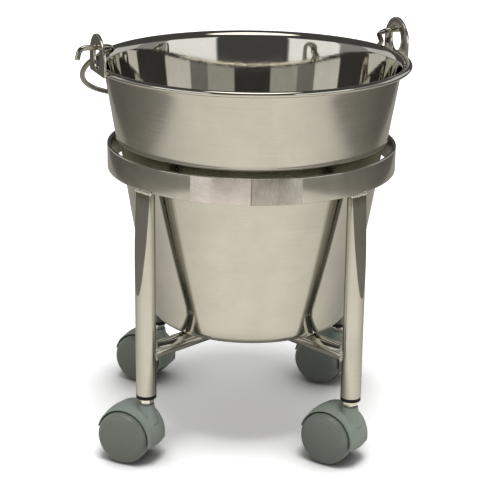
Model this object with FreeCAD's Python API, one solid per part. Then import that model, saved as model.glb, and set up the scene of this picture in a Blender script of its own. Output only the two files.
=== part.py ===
import FreeCAD, Part
import math
import os

# Surgical kick bucket. Millimetres, +Z up. The origin is on the floor, on the
# bucket's axis. The legs stand at 45 degrees to X and Y, and -Y is the front.

V = FreeCAD.Vector
UP = V(0, 0, 1)

# ---------------------------------------------------------------- casters
wheel_diameter = 50.0          # twin-wheel caster
wheel_inner_face = 6.2         # from the caster's middle plane to a wheel's inner face
wheel_tread_width = 8.3        # flat part of the tread
wheel_round = 7.5              # rounding between the tread and the outer face
wheel_dome = 1.4               # crown of the closed outer face
wheel_skin = 2.4               # wall of the wheel moulding
wheel_hub_radius = 6.0
trail = 17.4                   # stem axis to axle axis
axle_radius = 3.0
axle_end_clearance = 0.6       # axle end to the blind end of a wheel's bore
running_clearance = 0.05       # radial, every turning fit
web_half_thickness = 5.6       # the hood's middle web, which holds the axle
web_hub_radius = 7.0
hood_clearance = 0.8           # wheel tread to the hood's inner skin
hood_radius = 27.5             # outside of the hood along each wheel
hood_shift = 1.0               # hood's outside is centred this far from the axle, towards the stem
hood_crown = 2.2               # extra radius at the caster's middle plane
hood_half_width = 15.2
hood_lip_height = 0.5          # raised edge along each wheel
hood_lip_width = 1.5
hood_open_front = 13.0         # degrees above the axle where the hood ends, trailing side
hood_open_back = 193.5         # degrees, measured the same way, stem side
neck_above_wheel = 7.8         # top of the hood's neck above the top of the wheels
neck_top_radius = 7.4
neck_base_radius = 11.4
neck_height = 19.0
stem_radius = 4.0
stem_depth = 18.0              # how far the stem reaches down into the neck
stem_head_radius = 5.6         # flange that stays on top of the neck's socket
stem_head_height = 0.5
swivel_gap = 0.3               # turning gap between stem head and neck
caster_yaw = {                 # degrees each caster is swivelled to at rest
    "front_left": 24.6,
    "front_right": 32.7,
    "rear_left": 28.0,
    "rear_right": 30.0,
}

# ---------------------------------------------------------------- frame
leg_diameter = 19.0
leg_wall = 1.5
nut_height = 5.0
nut_across_flats = 13.0
plug_flange = 3.5              # black collar that shows under each tube
plug_length = 24.0             # part inside the tube
plug_clearance = 0.05
stem_thread_length = 16.0      # stem inside the plug
cross_tube_diameter = 16.0
cross_tube_wall = 1.2
cross_tube_rise = 40.6         # leg's lower end up to the cross tubes' axis
ring_height = 24.0
ring_thickness = 3.2
ring_clearance = 4.7           # bucket shoulder to the ring's inner face
ring_below_shoulder = 4.8
press_length = 98.0            # length of the flattened patch at each leg's top
weld_radius = 1.7
weld_half_angle = 4.0          # degrees, each leg's weld under the ring
collar_leg = 1.6               # size of the welds round the cross tubes
centre_weld_drop = 0.6         # the middle welds are ground off this far under the bucket
seam_width = 1.4               # butt weld that closes the ring
seam_proud = 0.15

# ---------------------------------------------------------------- bucket
wall = 1.0
bucket_height = 250.9
rim_diameter = 295.2
bead_radius = 5.0
bead_opening = 45.0            # degrees of the curl left open towards the wall
shoulder_below_rim = 72.6      # centre of the shoulder's outer rounding, below the rim's top
shoulder_radius = 127.9        # outside of the upper wall at the shoulder
shoulder_round = 2.5
shoulder_inner_round = 1.5
upper_wall_angle = 9.0         # degrees from vertical
lower_angle_top = 6.4          # the lower wall bellies out a little
lower_angle_bottom = 13.4
base_corner_radius = 9.0
base_corner_centre = 85.8      # radius at which the base's rounding is centred

# ---------------------------------------------------------------- ears and bail
ear_azimuth = 21.5             # degrees, right-hand ear towards the back
ear_radius = 23.5
ear_thickness = 2.4
ear_bite = 0.4                 # plate's inner face inside the bead's outside
ear_foot = 2.0                 # plate reaches this far below the bead's centre
ear_centre_above_rim = 5.4
ear_hole_above_centre = 2.9
ear_hole_half_width = 10.5
ear_hole_half_height = 11.4
ear_weld_radius = 2.2
ear_weld_inset = 0.8           # weld's middle line to the plate's inner face
ear_weld_rise = 2.4            # and above the bead's centre
ear_weld_half_length = 19.0
wire_diameter = 4.8
wire_clearance = 0.4           # wire to the top of the ear's hole
bail_drop = 31.0               # degrees below horizontal, lying back over the rim
bail_depth = 156.0
bail_half_width = 148.4
bail_mid_radius = 230.0
bail_corner_radius = 90.0
bail_neck_radius = 20.0
bail_neck_start = 34.0         # distance from the pivot where the neck begins
bail_neck_angle = 30.0
hook_radius = 8.0
hook_reach = {"right": 8.5, "left": 16.5}
tip_radius = 6.0
tip_turn = 75.0                # degrees the tip is bent down
tip_length = 6.0

# ---------------------------------------------------------------- worked-out places
wheel_radius = wheel_diameter / 2
wire_radius = wire_diameter / 2
leg_radius = leg_diameter / 2
cross_radius = cross_tube_diameter / 2

neck_top = wheel_diameter + neck_above_wheel
nut_bottom = neck_top + swivel_gap + stem_head_height
plug_bottom = nut_bottom + nut_height
leg_bottom = plug_bottom + plug_flange
cross_z = leg_bottom + cross_tube_rise
bucket_bottom = cross_z + cross_radius
rim_top = bucket_bottom + bucket_height

bead_z = rim_top - bead_radius
rim_radius = rim_diameter / 2
bead_centre = rim_radius - bead_radius
shoulder_z = rim_top - shoulder_below_rim

ring_inner = shoulder_radius + ring_clearance
ring_outer = ring_inner + ring_thickness
ring_top = shoulder_z - shoulder_round - ring_below_shoulder
ring_bottom = ring_top - ring_height
leg_circle = (ring_inner + ring_outer) / 2

hood_inner = wheel_radius + hood_clearance
axle_reach = wheel_inner_face + wheel_tread_width + wheel_round - wheel_skin - axle_end_clearance

ear_inner_face = rim_radius - ear_bite
ear_outer_face = ear_inner_face + ear_thickness
ear_centre_z = rim_top + ear_centre_above_rim
ear_hole_z = ear_centre_z + ear_hole_above_centre
pivot_z = ear_hole_z + ear_hole_half_height - wire_clearance - wire_radius

leg_azimuth = {"front_left": 225.0, "front_right": 315.0, "rear_left": 135.0, "rear_right": 45.0}


# ---------------------------------------------------------------- helpers
def polar(radius, degrees, z=0.0):
    """Point at a radius and azimuth about Z."""
    angle = math.radians(degrees)
    return V(radius * math.cos(angle), radius * math.sin(angle), z)


def in_plane(origin, first, second, a, b):
    """Point at a and b along two directions from an origin."""
    return origin + first * a + second * b


def around(centre, first, second, radius, degrees):
    """Point on a circle in the plane of two directions."""
    angle = math.radians(degrees)
    return in_plane(centre, first, second, radius * math.cos(angle), radius * math.sin(angle))


def arc(centre, first, second, radius, start, end):
    """Circular arc edge between two angles in the plane of two directions."""
    points = [around(centre, first, second, radius, a) for a in (start, (start + end) / 2, end)]
    return Part.Arc(*points).toShape()


def line(a, b):
    return Part.LineSegment(a, b).toShape()


def prism(points, direction):
    """Solid made by moving a flat polygon along a direction."""
    face = Part.Face(Part.makePolygon(points + [points[0]]))
    return face.extrude(direction)


def turned(edges, degrees=360.0):
    """Solid of revolution about Z of a closed outline in the XZ plane."""
    return Part.Face(Part.Wire(edges)).revolve(V(0, 0, 0), UP, degrees)


def rod(radius, start, end):
    """Solid cylinder between two points."""
    return Part.makeCylinder(radius, (end - start).Length, start, end - start)


def placed(shape, degrees, at=V(0, 0, 0)):
    """Copy of a shape turned about Z and then moved."""
    copy = shape.copy()
    copy.rotate(V(0, 0, 0), UP, degrees)
    copy.translate(at)
    return copy


def save(name, shape):
    """Write one sub-part, with its volume printed for a quick look."""
    shape.exportStep("parts/%s.step" % name)
    print("%-28s solids %d  volume %10.1f" % (name, len(shape.Solids), shape.Volume))


# ---------------------------------------------------------------- bucket
def bucket_side(inset):
    """Edges of the bucket's side from the base's middle to the bead's height.

    An inset of 0 gives the outside, and the wall thickness gives the inside.
    """
    x, z = V(1, 0, 0), UP
    base_z = bucket_bottom + inset
    corner = V(base_corner_centre, 0, bucket_bottom + base_corner_radius)
    corner_r = base_corner_radius - inset
    convex = V(shoulder_radius - shoulder_round, 0, shoulder_z)
    convex_r = shoulder_round - inset
    concave = convex - V(0, 0, shoulder_round + shoulder_inner_round)
    concave_r = shoulder_inner_round + inset
    low = around(corner, x, z, corner_r, -lower_angle_bottom)
    high = around(concave, x, z, concave_r, 180 - lower_angle_top)
    chord = high - low
    half_turn = math.radians(lower_angle_bottom - lower_angle_top) / 2
    belly = chord.Length / 2 * math.tan(half_turn / 2)
    outward = V(chord.z, 0, -chord.x).normalize()
    shoulder = around(convex, x, z, convex_r, -upper_wall_angle)
    top = V(bead_centre - bead_radius + wall - inset, 0, bead_z)
    return [
        line(V(0, 0, base_z), V(base_corner_centre, 0, base_z)),
        arc(corner, x, z, corner_r, -90, -lower_angle_bottom),
        Part.Arc(low, (low + high) * 0.5 + outward * belly, high).toShape(),
        arc(concave, x, z, concave_r, 180 - lower_angle_top, 90),
        arc(convex, x, z, convex_r, -90, -upper_wall_angle),
        line(shoulder, top),
    ]


def bucket_shell():
    """Drawn bucket with its rim curled outwards into a round bead."""
    centre = V(bead_centre, 0, bead_z)
    x, z = V(1, 0, 0), UP
    curl_end = -180 + bead_opening
    curl = [
        arc(centre, x, z, bead_radius, 180, curl_end),
        line(around(centre, x, z, bead_radius, curl_end), around(centre, x, z, bead_radius - wall, curl_end)),
        arc(centre, x, z, bead_radius - wall, curl_end, 180),
    ]
    floor_edge = line(V(0, 0, bucket_bottom + wall), V(0, 0, bucket_bottom))
    edges = bucket_side(wall) + curl + bucket_side(0)[::-1] + [floor_edge]
    return turned(Part.__sortEdges__(edges))


def bead_torus(extra=0.0):
    """Solid ring as large as the rim's bead."""
    return Part.makeTorus(bead_centre, bead_radius + extra, V(0, 0, bead_z))


def ear():
    """Half-round plate with an oval hole, standing on the bead, facing +X."""
    y = V(0, 1, 0)
    start = V(ear_inner_face, 0, 0)
    foot_z = bead_z - ear_foot
    centre = start + UP * ear_centre_z
    left = centre - y * ear_radius
    right = centre + y * ear_radius
    outline = Part.Wire([
        line(V(ear_inner_face, -ear_radius, foot_z), V(ear_inner_face, ear_radius, foot_z)),
        line(V(ear_inner_face, ear_radius, foot_z), right),
        arc(centre, y, UP, ear_radius, 0, 180),
        line(left, V(ear_inner_face, -ear_radius, foot_z)),
    ])
    plate = Part.Face(outline).extrude(V(ear_thickness, 0, 0))
    hole_centre = start + UP * ear_hole_z
    oval = Part.Ellipse(
        hole_centre + UP * ear_hole_half_height, hole_centre + y * ear_hole_half_width, hole_centre
    ).toShape()
    hole = Part.Face(Part.Wire(oval)).extrude(V(ear_thickness, 0, 0))
    return plate.cut(hole).cut(bead_torus())


def ear_weld():
    """Weld bead in the corner between the ear's inner face and the top of the rim's bead."""
    centre = V(ear_inner_face - ear_weld_inset, 0, bead_z + ear_weld_rise)
    along = V(0, ear_weld_half_length, 0)
    return rod(ear_weld_radius, centre - along, centre + along).cut(bead_torus()).cut(ear())


# ---------------------------------------------------------------- bail
def bail_path():
    """Centre line of the bail, hook tip to hook tip, with the bail lying back."""
    out = polar(1.0, ear_azimuth)
    back = polar(1.0, ear_azimuth + 90)
    drop = math.radians(bail_drop)
    down_back = back * math.cos(drop) - UP * math.sin(drop)
    pivot = UP * pivot_z
    lean = math.degrees(math.asin((bail_half_width - bail_corner_radius) / (bail_mid_radius - bail_corner_radius)))
    mid_centre = bail_depth - bail_mid_radius
    corner_v = mid_centre + (bail_mid_radius - bail_corner_radius) * math.cos(math.radians(lean))
    corner_a = bail_half_width - bail_corner_radius
    neck_lean = math.degrees(math.asin((corner_v - bail_neck_start) / bail_corner_radius))
    shift = bail_corner_radius - bail_neck_radius
    neck_a = corner_a + shift * math.cos(math.radians(neck_lean))
    neck_v = corner_v - shift * math.sin(math.radians(neck_lean))
    turn = math.radians(bail_neck_angle)
    both = bail_neck_radius + hook_radius
    hook_a = neck_a + (both - (neck_v - hook_radius) * math.sin(turn)) / math.cos(turn)

    def side(name, sign):
        """Edges from the corner arc's top down to the tip, on one side."""
        outward = out * sign
        corner = in_plane(pivot, outward, down_back, corner_a, corner_v)
        neck = in_plane(pivot, outward, down_back, neck_a, neck_v)
        hook = in_plane(pivot, outward, down_back, hook_a, hook_radius)
        neck_end = around(neck, outward, down_back, bail_neck_radius, -bail_neck_angle)
        hook_start = around(hook, outward, down_back, hook_radius, 180 - bail_neck_angle)
        hook_end = in_plane(pivot, outward, down_back, hook_a, 0)
        bend = pivot + outward * (ear_outer_face + hook_reach[name] - tip_radius)
        tip_centre = bend - UP * tip_radius
        tip_start = around(tip_centre, outward, UP, tip_radius, 90 - tip_turn)
        along = around(V(0, 0, 0), outward, UP, 1.0, -tip_turn)
        return [
            arc(corner, outward, down_back, bail_corner_radius, 90 - lean, -neck_lean),
            arc(neck, outward, down_back, bail_neck_radius, -neck_lean, -bail_neck_angle),
            line(neck_end, hook_start),
            arc(hook, outward, down_back, hook_radius, 180 - bail_neck_angle, 270),
            line(hook_end, bend),
            arc(tip_centre, outward, UP, tip_radius, 90, 90 - tip_turn),
            line(tip_start, tip_start + along * tip_length),
        ]

    middle = in_plane(pivot, out, down_back, 0, mid_centre)
    crown = arc(middle, out, down_back, bail_mid_radius, 90 - lean, 90 + lean)
    return side("right", 1)[::-1] + [crown] + side("left", -1)


def bail():
    """Bent wire handle with a hook through each ear."""
    path = Part.Wire(Part.__sortEdges__(bail_path()))
    first = path.OrderedEdges[0]
    start = first.valueAt(first.FirstParameter)
    away = first.tangentAt(first.FirstParameter)
    if path.OrderedVertexes[0].Point.distanceToPoint(start) > wire_radius:
        start = first.valueAt(first.LastParameter)
        away = first.tangentAt(first.LastParameter)
    section = Part.Wire(Part.makeCircle(wire_radius, start, away))
    wire = path.makePipeShell([section], True, False)
    print("bail wire: length %.1f, volume over section %.1f" % (path.Length, wire.Volume / (math.pi * wire_radius ** 2)))
    return wire


# ---------------------------------------------------------------- frame
def leg_centre(name, z=0.0):
    return polar(leg_circle, leg_azimuth[name], z)


def pressed_patch(inset):
    """Wedge cut away outside the flattened patch of a leg that stands at the origin."""
    flush = ring_outer - leg_circle - inset
    lower = ring_bottom - press_length
    beyond = leg_diameter
    outline = [
        V(flush, -beyond, ring_bottom),
        V(beyond, -beyond, ring_bottom),
        V(beyond, -beyond, lower),
        V(leg_radius - inset, -beyond, lower),
    ]
    return prism(outline, V(0, 2 * beyond, 0))


def leg():
    """Tube at the origin, its top pressed flat on the +X side."""
    bottom, top = V(0, 0, leg_bottom), V(0, 0, ring_bottom)
    outside = rod(leg_radius, bottom, top).cut(pressed_patch(0))
    inside = rod(leg_radius - leg_wall, bottom, top).cut(pressed_patch(leg_wall))
    return outside.cut(inside)


def placed_leg(name):
    return placed(leg(), leg_azimuth[name], leg_centre(name))


def leg_cylinders():
    """Solid cylinders where the legs stand, to cope other tubes to."""
    return [rod(leg_radius, leg_centre(name, leg_bottom), leg_centre(name, ring_bottom)) for name in leg_azimuth]


def support_ring():
    """Flat bar rolled into a ring."""
    outer = Part.makeCylinder(ring_outer, ring_height, V(0, 0, ring_bottom))
    inner = Part.makeCylinder(ring_inner, ring_height, V(0, 0, ring_bottom))
    ring = outer.cut(inner)
    gap = Part.makeBox(
        seam_width, 4 * ring_thickness, ring_height, V(-seam_width / 2, -ring_outer - ring_thickness, ring_bottom)
    )
    return ring.cut(gap)


def ring_seam():
    """Butt weld that closes the ring at the front, a little proud of the bar."""
    outer = Part.makeCylinder(ring_outer + seam_proud, ring_height, V(0, 0, ring_bottom))
    inner = Part.makeCylinder(ring_inner, ring_height, V(0, 0, ring_bottom))
    gap = Part.makeBox(
        seam_width, 4 * ring_thickness, ring_height, V(-seam_width / 2, -ring_outer - ring_thickness, ring_bottom)
    )
    return outer.cut(inner).common(gap)


def cross_tube(start, end, cope):
    """Hollow tube between two points, coped to the solids it meets."""
    tube = rod(cross_radius, start, end).cut(rod(cross_radius - cross_tube_wall, start, end))
    for solid in cope:
        tube = tube.cut(solid)
    return tube


def through_rod():
    """Solid as large as the cross tube that runs right across."""
    return rod(cross_radius, leg_centre("front_left", cross_z), leg_centre("rear_right", cross_z))


def weld_under_ring(name):
    """Weld bead across a leg's top, along the ring's lower outer edge."""
    section = Part.Face(Part.Wire(Part.makeCircle(weld_radius, V(ring_outer, 0, ring_bottom), V(0, 1, 0))))
    bead = section.revolve(V(0, 0, 0), UP, 2 * weld_half_angle)
    bead.rotate(V(0, 0, 0), UP, leg_azimuth[name] - weld_half_angle)
    solid_leg = rod(leg_radius, V(0, 0, leg_bottom), V(0, 0, ring_bottom)).cut(pressed_patch(0))
    return bead.cut(support_ring()).cut(placed(solid_leg, leg_azimuth[name], leg_centre(name)))


def cross_weld(name):
    """Weld collar in the corner where a cross tube meets a leg."""
    middle, at_leg = V(0, 0, cross_z), leg_centre(name, cross_z)
    round_tube = rod(cross_radius + collar_leg, middle, at_leg)
    below, above = at_leg - UP * leg_diameter, at_leg + UP * leg_diameter
    round_leg = rod(leg_radius + collar_leg, below, above)
    return round_tube.common(round_leg).cut(rod(cross_radius, middle, at_leg)).cut(rod(leg_radius, below, above))


def centre_weld(name):
    """Weld collar in the corner where a half cross tube meets the through tube."""
    outward = polar(2 * cross_tube_diameter, leg_azimuth[name])
    along = polar(2 * cross_tube_diameter, leg_azimuth["rear_right"])
    middle = V(0, 0, cross_z)
    round_half = rod(cross_radius + collar_leg, middle, middle + outward)
    round_through = rod(cross_radius + collar_leg, middle - along, middle + along)
    collar = round_half.common(round_through).cut(rod(cross_radius, middle, middle + outward)).cut(through_rod())
    side = 4 * cross_tube_diameter
    clear_of_bucket = Part.makeBox(side, side, side, V(-side / 2, -side / 2, bucket_bottom - centre_weld_drop - side))
    return collar.common(clear_of_bucket)


def leg_plug():
    """Plastic plug pushed into a leg's lower end, at the origin."""
    flange = rod(leg_radius, V(0, 0, plug_bottom), V(0, 0, leg_bottom))
    body = rod(leg_radius - leg_wall - plug_clearance, V(0, 0, leg_bottom), V(0, 0, leg_bottom + plug_length))
    thread = rod(stem_radius, V(0, 0, plug_bottom), V(0, 0, plug_bottom + stem_thread_length))
    return flange.fuse(body).cut(thread)


def lock_nut():
    """Hexagon nut under the plug, at the origin."""
    corner = nut_across_flats / math.sqrt(3)
    outline = [polar(corner, 60 * i + 30, nut_bottom) for i in range(6)]
    body = prism(outline, V(0, 0, nut_height))
    return body.cut(rod(stem_radius, V(0, 0, nut_bottom), V(0, 0, plug_bottom)))


# ---------------------------------------------------------------- caster, stem at the origin
def caster_stem():
    """Swivel stem: threaded end in the plug, flange on the neck, spigot in the hood."""
    spigot = rod(stem_radius, V(0, 0, neck_top - stem_depth), V(0, 0, plug_bottom + stem_thread_length))
    head = rod(stem_head_radius, V(0, 0, nut_bottom - stem_head_height), V(0, 0, nut_bottom))
    return spigot.fuse(head)


def axle_point(y):
    return V(trail, y, wheel_radius)


def hood_opening():
    """Prism below the hood, open towards the floor."""
    centre = axle_point(-2 * hood_half_width)
    reach = 3 * hood_radius
    steps = 6
    span = hood_open_front + 360 - hood_open_back
    fan = [
        around(centre, V(1, 0, 0), UP, reach, hood_open_back + span * i / steps) for i in range(steps + 1)
    ]
    return prism([centre] + fan, V(0, 4 * hood_half_width, 0))


def hood_barrel():
    """Solid as large as the hood's crowned outside, with a raised edge along each wheel."""
    rim = hood_radius + hood_lip_height
    side = hood_half_width
    inner = hood_half_width - hood_lip_width
    crown = V(hood_radius + hood_crown, 0, 0)
    corners = [V(hood_radius, inner, 0), V(rim, inner, 0), V(rim, side, 0), V(0, side, 0)]
    corners += [V(0, -side, 0), V(rim, -side, 0), V(rim, -inner, 0), V(hood_radius, -inner, 0)]
    edges = [line(a, b) for a, b in zip(corners, corners[1:])]
    edges.append(Part.Arc(corners[-1], crown, corners[0]).toShape())
    barrel = Part.Face(Part.Wire(edges)).revolve(V(0, 0, 0), V(0, 1, 0), 360)
    barrel.translate(V(trail - hood_shift, 0, wheel_radius))
    return barrel


def caster_hood():
    """Moulded hood: a barrel skin over both wheels, a middle web and the neck."""
    neck = Part.makeCone(neck_base_radius, neck_top_radius, neck_height, V(0, 0, neck_top - neck_height))
    hub = rod(web_hub_radius, axle_point(-web_half_thickness), axle_point(web_half_thickness))
    body = hood_barrel().cut(hood_opening()).multiFuse([neck, hub])
    for side in (-1, 1):
        cavity = rod(hood_inner, axle_point(side * web_half_thickness), axle_point(side * 2 * hood_half_width))
        body = body.cut(cavity)
    socket = rod(stem_radius + running_clearance, V(0, 0, neck_top - stem_depth - swivel_gap), V(0, 0, neck_top))
    bore = rod(axle_radius, axle_point(-web_half_thickness), axle_point(web_half_thickness))
    return body.cut(socket).cut(bore)


def caster_axle():
    """Steel pin through the web, carrying a wheel on each side."""
    return rod(axle_radius, axle_point(-axle_reach), axle_point(axle_reach))


def caster_wheel(side):
    """Wheel moulding with a closed crowned face; side is +1 or -1 along the axle."""
    tread_end = wheel_inner_face + wheel_tread_width
    face = tread_end + wheel_round
    face_radius = wheel_radius - wheel_round
    crown = (face_radius ** 2 + wheel_dome ** 2) / (2 * wheel_dome)
    half_crown = math.asin(face_radius / crown) / 2
    x, y = V(1, 0, 0), V(0, 1, 0)

    def solid(inset):
        """Tread, rounding and crowned face, filled up to the inner face."""
        radius = wheel_radius - inset
        end = face - inset
        centre = V(face_radius, tread_end, 0)
        middle = V(crown * math.sin(half_crown), end + wheel_dome - crown * (1 - math.cos(half_crown)), 0)
        top = V(0, end + wheel_dome, 0)
        profile = [
            line(V(0, wheel_inner_face, 0), V(radius, wheel_inner_face, 0)),
            line(V(radius, wheel_inner_face, 0), V(radius, tread_end, 0)),
            arc(centre, x, y, wheel_round - inset, 0, 90),
            Part.Arc(V(face_radius, end, 0), middle, top).toShape(),
            line(top, V(0, wheel_inner_face, 0)),
        ]
        return Part.Face(Part.Wire(profile)).revolve(V(0, 0, 0), y, 360)

    hub = Part.makeCylinder(wheel_hub_radius, face - wheel_inner_face, y * wheel_inner_face, y)
    bore_depth = axle_reach + axle_end_clearance - wheel_inner_face
    bore = Part.makeCylinder(axle_radius + running_clearance, bore_depth, y * wheel_inner_face, y)
    wheel = solid(0).cut(solid(wheel_skin).cut(hub)).cut(bore)
    if side < 0:
        wheel.rotate(V(0, 0, 0), x, 180)
    wheel.translate(axle_point(0))
    return wheel


# ---------------------------------------------------------------- build
os.makedirs("parts", exist_ok=True)

save("bucket_shell", bucket_shell())
save("ear_right", placed(ear(), ear_azimuth))
save("ear_left", placed(ear(), ear_azimuth + 180))
save("ear_welds", Part.makeCompound([placed(ear_weld(), ear_azimuth + turn) for turn in (0, 180)]))
save("bail_wire", bail())

save("support_ring", support_ring())
save("ring_seam_weld", ring_seam())
for leg_name in leg_azimuth:
    save("leg_" + leg_name, placed_leg(leg_name))
    save("leg_plug_" + leg_name, placed(leg_plug(), leg_azimuth[leg_name], leg_centre(leg_name)))
save("leg_ring_welds", Part.makeCompound([weld_under_ring(name) for name in leg_azimuth]))

legs = leg_cylinders()
middle_point = V(0, 0, cross_z)
save("cross_tube_through", cross_tube(leg_centre("front_left", cross_z), leg_centre("rear_right", cross_z), legs))
for leg_name in ("front_right", "rear_left"):
    half = cross_tube(middle_point, leg_centre(leg_name, cross_z), legs + [through_rod()])
    save("cross_tube_" + leg_name, half)
save("cross_tube_leg_welds", Part.makeCompound([cross_weld(name) for name in leg_azimuth]))
save("cross_tube_centre_welds", Part.makeCompound([centre_weld(name) for name in ("front_right", "rear_left")]))

nuts = []
for leg_name in leg_azimuth:
    yaw = 180 - caster_yaw[leg_name]
    at = leg_centre(leg_name)
    nuts.append(placed(lock_nut(), leg_azimuth[leg_name], at))
    save("caster_stem_" + leg_name, placed(caster_stem(), 0, at))
    save("caster_hood_" + leg_name, placed(caster_hood(), yaw, at))
    save("caster_axle_" + leg_name, placed(caster_axle(), yaw, at))
    save("wheel_a_" + leg_name, placed(caster_wheel(1), yaw, at))
    save("wheel_b_" + leg_name, placed(caster_wheel(-1), yaw, at))
save("caster_lock_nuts", Part.makeCompound(nuts))
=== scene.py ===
import logging
import math
from dataclasses import dataclass
from enum import Enum

import bmesh
import bpy
from mathutils import Matrix, Vector


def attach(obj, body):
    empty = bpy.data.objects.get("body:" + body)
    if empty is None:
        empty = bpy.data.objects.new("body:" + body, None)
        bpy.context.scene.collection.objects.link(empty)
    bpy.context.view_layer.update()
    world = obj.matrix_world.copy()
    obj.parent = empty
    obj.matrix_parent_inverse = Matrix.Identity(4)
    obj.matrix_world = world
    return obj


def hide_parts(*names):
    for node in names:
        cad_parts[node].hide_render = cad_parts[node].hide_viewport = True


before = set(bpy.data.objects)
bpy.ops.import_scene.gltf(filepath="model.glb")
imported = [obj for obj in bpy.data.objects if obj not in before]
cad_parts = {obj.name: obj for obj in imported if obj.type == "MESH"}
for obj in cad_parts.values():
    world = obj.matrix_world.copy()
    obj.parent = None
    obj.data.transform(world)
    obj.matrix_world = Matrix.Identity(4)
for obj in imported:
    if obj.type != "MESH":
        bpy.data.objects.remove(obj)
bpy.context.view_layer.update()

logging.basicConfig(level=logging.INFO, format="%(name)s: %(message)s")
LOG = logging.getLogger("kick_bucket")

MM = 0.001
NEARLY_ZERO = 1e-6
MERGE_DISTANCE = 0.00001
Point = tuple[float, float]
Face = tuple[int, ...]
Colour = tuple[float, float, float]


class LegPlace(Enum):
    """Azimuth of each leg about Z, in degrees."""

    FRONT_LEFT = 225.0
    FRONT_RIGHT = 315.0
    REAR_LEFT = 135.0
    REAR_RIGHT = 45.0

    @property
    def node(self) -> str:
        """Ending of the leg's node names."""
        return self.name.lower()


class Side(Enum):
    """One of two opposite ends along a line."""

    RIGHT = 1
    LEFT = -1


CASTER_YAW: dict[LegPlace, float] = {
    LegPlace.FRONT_LEFT: 24.6,
    LegPlace.FRONT_RIGHT: 32.7,
    LegPlace.REAR_LEFT: 28.0,
    LegPlace.REAR_RIGHT: 30.0,
}

EAR_AZIMUTH = 21.5
EAR_LINE: dict[Side, float] = {Side.RIGHT: EAR_AZIMUTH, Side.LEFT: EAR_AZIMUTH + 180.0}


# ------------------------------------------------------------------ shapes
def polar(radius: float, degrees: float, z: float = 0.0) -> Vector:
    """Point at a radius and azimuth about Z, in the units of the radius."""
    angle = math.radians(degrees)
    return Vector((radius * math.cos(angle), radius * math.sin(angle), z))


def arc(centre: Point, radius: float, start: float, end: float, steps: int) -> list[Point]:
    """Points along a circular arc.

    Args:
        centre: The arc's centre.
        radius: Its radius.
        start: First angle in degrees.
        end: Last angle in degrees.
        steps: Number of pieces.

    Returns:
        The points, both ends included.
    """
    out = []
    for i in range(steps + 1):
        a = math.radians(start + (end - start) * i / steps)
        out.append((centre[0] + radius * math.cos(a), centre[1] + radius * math.sin(a)))
    return out


def turned_chord(a: Point, b: Point, turn: float, steps: int) -> list[Point]:
    """Points of the arc from a to b that turns by an angle on the way, bulging to the right.

    Args:
        a: First point.
        b: Last point.
        turn: Total change of direction in degrees.
        steps: Number of pieces.

    Returns:
        The points, both ends included.
    """
    half = math.radians(turn) / 2
    dx, dy = b[0] - a[0], b[1] - a[1]
    chord = math.hypot(dx, dy)
    radius = chord / (2 * math.sin(half))
    back = radius * math.cos(half)
    centre = ((a[0] + b[0]) / 2 - dy / chord * back, (a[1] + b[1]) / 2 + dx / chord * back)
    start = math.degrees(math.atan2(a[1] - centre[1], a[0] - centre[0]))
    return arc(centre, radius, start, start + turn, steps)


def new_piece(name: str, points: list[Vector], faces: list[Face], sharp: float = 35.0) -> bpy.types.Object:
    """Mesh object in metres from points in millimetres.

    Args:
        name: Object name.
        points: Vertices in millimetres, in the row frame.
        faces: Vertex numbers of each face.
        sharp: Edges steeper than this many degrees are shaded sharp.

    Returns:
        The linked object, its doubles merged and its faces pointing outwards.
    """
    mesh = bpy.data.meshes.new(name)
    mesh.from_pydata([tuple(p * MM) for p in points], [], faces)
    work = bmesh.new()
    work.from_mesh(mesh)
    bmesh.ops.remove_doubles(work, verts=work.verts, dist=MERGE_DISTANCE)
    bmesh.ops.recalc_face_normals(work, faces=work.faces)
    work.to_mesh(mesh)
    work.free()
    mesh.shade_smooth()
    mesh.set_sharp_from_angle(angle=math.radians(sharp))
    piece = bpy.data.objects.new(name, mesh)
    bpy.context.scene.collection.objects.link(piece)
    return piece


def lathe(profile: list[Point], segments: int, closed: bool) -> tuple[list[Vector], list[Face]]:
    """Surface of revolution about Z.

    Args:
        profile: Radius and height pairs.
        segments: Number of steps round the axis.
        closed: Whether the profile's last point joins its first.

    Returns:
        Vertices and faces.
    """
    count = len(profile)
    points = [polar(r, 360.0 * s / segments, z) for s in range(segments) for r, z in profile]
    faces: list[Face] = []
    for s in range(segments):
        near, far = s * count, (s + 1) % segments * count
        for i in range(count if closed else count - 1):
            j = (i + 1) % count
            corners = [near + i, far + i, far + j, near + j]
            if profile[i][0] < NEARLY_ZERO:
                corners.remove(far + i)
            if profile[j][0] < NEARLY_ZERO:
                corners.remove(far + j)
            if len(corners) > 2:
                faces.append(tuple(corners))
    return points, faces


def loft(rings: list[list[Vector]], caps: bool) -> tuple[list[Vector], list[Face]]:
    """Skin over a row of closed rings that have the same number of points.

    Args:
        rings: The rings in order.
        caps: Whether the two end rings are filled.

    Returns:
        Vertices and faces.
    """
    count = len(rings[0])
    points = [p for ring in rings for p in ring]
    faces: list[Face] = []
    for k in range(len(rings) - 1):
        for i in range(count):
            j = (i + 1) % count
            faces.append((k * count + i, k * count + j, (k + 1) * count + j, (k + 1) * count + i))
    if caps:
        last = (len(rings) - 1) * count
        faces.append(tuple(range(count)))
        faces.append(tuple(last + i for i in reversed(range(count))))
    return points, faces


BAR_END_ANGLES = (1.5, 1.1, 0.7, 0.35)


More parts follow.
